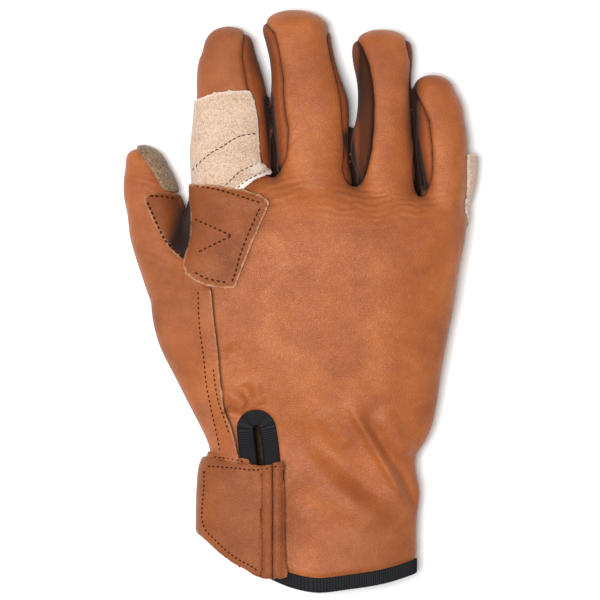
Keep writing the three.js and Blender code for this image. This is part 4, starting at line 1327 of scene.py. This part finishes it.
# Round the hem: share runs round the hand from the vent's right side to its left, at the height
# that the hem has there, found by going back and forth between height and place across
def hemSkin(share, reach):
    def at(angle, lift):
        along = np.zeros_like(angle + lift)
        for _ in range(6):
            x = handSkin(along, angle)[..., 0]
            along = (hemHeight(x) + lift - hand["hemY"]) / hand["length"]
        return handSkin(along, angle)

    fineAngle = np.linspace(0.05, np.pi - 0.05, 400)
    rim = at(fineAngle, np.zeros(400))
    rightSide = vent["x"] + hemTape["rightEnd"] * vent["mouth"]
    leftSide = vent["x"] - hemTape["leftEnd"] * vent["mouth"]
    start = np.interp(-rightSide, -rim[:, 0], fineAngle)
    end = np.interp(-leftSide, -rim[:, 0], fineAngle)
    angle = start + (end - 2 * np.pi - start) * share
    place = at(angle, reach)
    nudge = 1e-3
    acrossStep = at(angle + nudge, reach) - at(angle - nudge, reach)
    upStep = at(angle, reach + 0.05) - at(angle, reach - 0.05)
    normal = np.cross(upStep, acrossStep)
    normal /= np.maximum(np.linalg.norm(normal, axis=-1, keepdims=True), 1e-9)
    return place, normal


layTape("hem_binding", hemSkin, hemTape)


# Round the vent: share runs up the slot's left side, round its top and down its right; the normal
# is square to the hand's slopes both ways
def ventSkin(share, reach):
    line = easeLine(ventOutline(0.0)[1:-1], 4)
    keep = line[line[:, 1] > hand["hemY"] + ventTape["footAbove"]]
    line = evenLine(keep, 0.4)
    place = np.linspace(0, 1, len(line))

    def on(where):
        return np.stack([np.interp(where, place, line[:, axis]) for axis in range(2)], axis=-1)

    at, step = on(share), on(share + 0.01) - on(share - 0.01)
    step /= np.linalg.norm(step, axis=-1, keepdims=True)
    outward = np.stack([-step[..., 1], step[..., 0]], axis=-1)
    x, y = np.moveaxis(at + outward * reach[..., None], -1, 0)
    z = handTop(x, y)
    slopeX = (handTop(x + 0.3, y) - handTop(x - 0.3, y)) / 0.6
    slopeY = (handTop(x, y + 0.3) - handTop(x, y - 0.3)) / 0.6
    normal = np.stack([-slopeX, -slopeY, np.ones_like(x)], axis=-1)
    normal /= np.linalg.norm(normal, axis=-1, keepdims=True)
    return np.stack([x, y, z], axis=-1), normal


layTape("vent_binding", ventSkin, ventTape)

print("stage: stitches")
tops["leather"] = (settle(body["points"]), body["normal"])
tops["lapped"] = (settle(thumbSheet["points"]), thumbSheet["normal"])

threads = {
    # piece that is sewn, slot, pitch, stitch length, thread radius, rows
    "index_suede": ("suede", 2.2, 2.0, 0.24, list(suedeRows.values())),
    "web_patch": ("patch_leather", 2.3, 1.7, 0.36, [
        [(-44.6, 48.6), (-36.6, 47.2), (-30.2, 45.5), (-21.6, 42.7), (-16.8, 41.2)],
        [(-16.9, 39.2), (-21.4, 29.1), (-25.2, 19.4), (-28.0, 9.7), (-29.0, 7.4)],
        [(-31.0, 7.4), (-35.6, 8.2), (-41.0, 9.6), (-45.0, 12.0)],
        [(-45.3, 34.7), (-28.9, 27.2), (-43.3, 20.3)],
    ]),
    "thumb_patch": ("patch_leather", 2.2, 1.8, 0.46, [
        [(-54.0, 43.6), (-58.6, 44.4), (-64.6, 44.6)],
        [(-65.6, 42.4), (-61.6, 33.4), (-57.2, 24.8), (-53.4, 20.9), (-49.8, 18.0)],
    ]),
    "closure_tab": ("patch_leather", 1.9, 1.4, 0.32, [
        [(-15.9, -73.6), (-15.9, -94.0), (-15.9, -115.4)],
        [(-40.0, -71.2), (-30.0, -71.6), (-17.0, -72.4), (-9.4, -70.6)],
        [(-41.2, -73.0), (-41.2, -80.2), (-42.0, -89.2), (-41.9, -94.9), (-40.3, -98.7), (-36.2, -102.6),
         (-32.2, -106.3), (-26.5, -110.5), (-22.2, -112.6), (-18.1, -115.1)],
    ]),
    "closure_underlay": ("gusset_leather", 1.9, 1.4, 0.32, [
        [(-37.5, -67.4), (-30.0, -67.9), (-24.0, -69.2)],
    ]),
    "lapped": ("leather", 2.1, 1.5, 0.3, [
        [(-43.3, 3.9), (-42.7, -11.6), (-40.9, -25.4), (-40.1, -34.5), (-38.4, -44.5), (-36.0, -55.9),
         (-34.3, -64.9)],
        [(-36.9, -29.0), (-36.1, -36.6), (-34.6, -44.2), (-32.4, -50.6), (-30.4, -57.0)],
    ]),
}


# bow and rise are shares of the thread's radius; turn is how far a stitch may stray, in radians
stitch = {"sides": 6, "rings": 7, "endTaper": 0.96, "rise": 0.55, "bow": 1.3, "turn": 0.12}


# Places on a piece's outer side above points in plan: the four nearest of its points, weighed by
# nearness
def dropOn(top, places):
    points, normal = top
    upper = normal[:, 2] > 0.1
    points, normal = points[upper], normal[upper]
    away = np.hypot(points[None, :, 0] - places[:, 0:1], points[None, :, 1] - places[:, 1:2])
    nearest = np.argpartition(away, 4, axis=1)[:, :4]
    weight = 1 / (np.take_along_axis(away, nearest, axis=1) + 0.05)
    weight /= weight.sum(axis=1, keepdims=True)
    height = (points[nearest, 2] * weight).sum(axis=1)
    turned = (normal[nearest] * weight[..., None]).sum(axis=1)
    return np.column_stack([places, height]), turned / np.linalg.norm(turned, axis=1, keepdims=True)


# One stitch is a capsule, as thick as the root of one less the square of its share, bowed by that
# square so that its ends dive into the leather; all stitches of a row are placed at once
def sewRows(name, slot, pitch, length, radius, rows):
    share = np.linspace(-1, 1, stitch["rings"])
    angle = np.linspace(0, 2 * np.pi, stitch["sides"], endpoint=False)
    thick = radius * np.sqrt(1 - (stitch["endTaper"] * share) ** 2)[:, None]
    along = (share * length / 2)[:, None] + 0 * angle
    across = thick * np.cos(angle)
    up = thick * np.sin(angle) + (radius * (stitch["rise"] - stitch["bow"] * share**2))[:, None]
    capsule, capsuleFaces = closedTube(np.stack([along, across, up], axis=-1))
    points, faces, count = [], [], 0
    for row in rows:
        line = evenLine(easeLine(row, 8) if len(row) > 3 else row, pitch)
        middle = (line[:-1] + line[1:]) / 2
        heading = np.column_stack([line[1:] - line[:-1], np.zeros(len(middle))])
        place, normal = dropOn(tops[name], middle)
        heading -= normal * (heading * normal).sum(axis=1, keepdims=True)
        heading /= np.linalg.norm(heading, axis=1, keepdims=True)
        sideways = np.cross(normal, heading)
        wobble = rng.uniform(-stitch["turn"], stitch["turn"], len(middle))[:, None]
        heading, sideways = heading + wobble * sideways, sideways - wobble * heading
        axes = np.stack([heading, sideways, normal], axis=1)
        placed = place[:, None, :] + np.einsum("ij,njk->nik", capsule, axes)
        points.append(placed.reshape(-1, 3))
        shift = count + len(capsule) * np.arange(len(middle))
        faces.append((capsuleFaces[None] + shift[:, None, None]).reshape(-1, 3))
        count += len(capsule) * len(middle)
    points, faces = np.concatenate(points), np.concatenate(faces)
    makePiece("stitches_" + name, points, faces, [looks["thread"]])
    print("stitches on", name, count // len(capsule))


for sewn, settings in threads.items():
    sewRows(sewn, *settings)

paleFloor = {"half": 2, "colour": (0.97, 0.97, 0.97, 1), "roughness": 0.8}
half = paleFloor["half"]
floor = bpy.data.objects.new("floor", bpy.data.meshes.new("floor"))
floorCorners = [(-half, -half, 0), (half, -half, 0), (half, half, 0), (-half, half, 0)]
floor.data.from_pydata(floorCorners, [], [(0, 1, 2, 3)])
bpy.context.scene.collection.objects.link(floor)
floorLook, _, floorShader = startLook("paleFloor", paleFloor["roughness"])
floorShader.inputs["Base Color"].default_value = paleFloor["colour"]
floor.data.materials.append(floorLook)
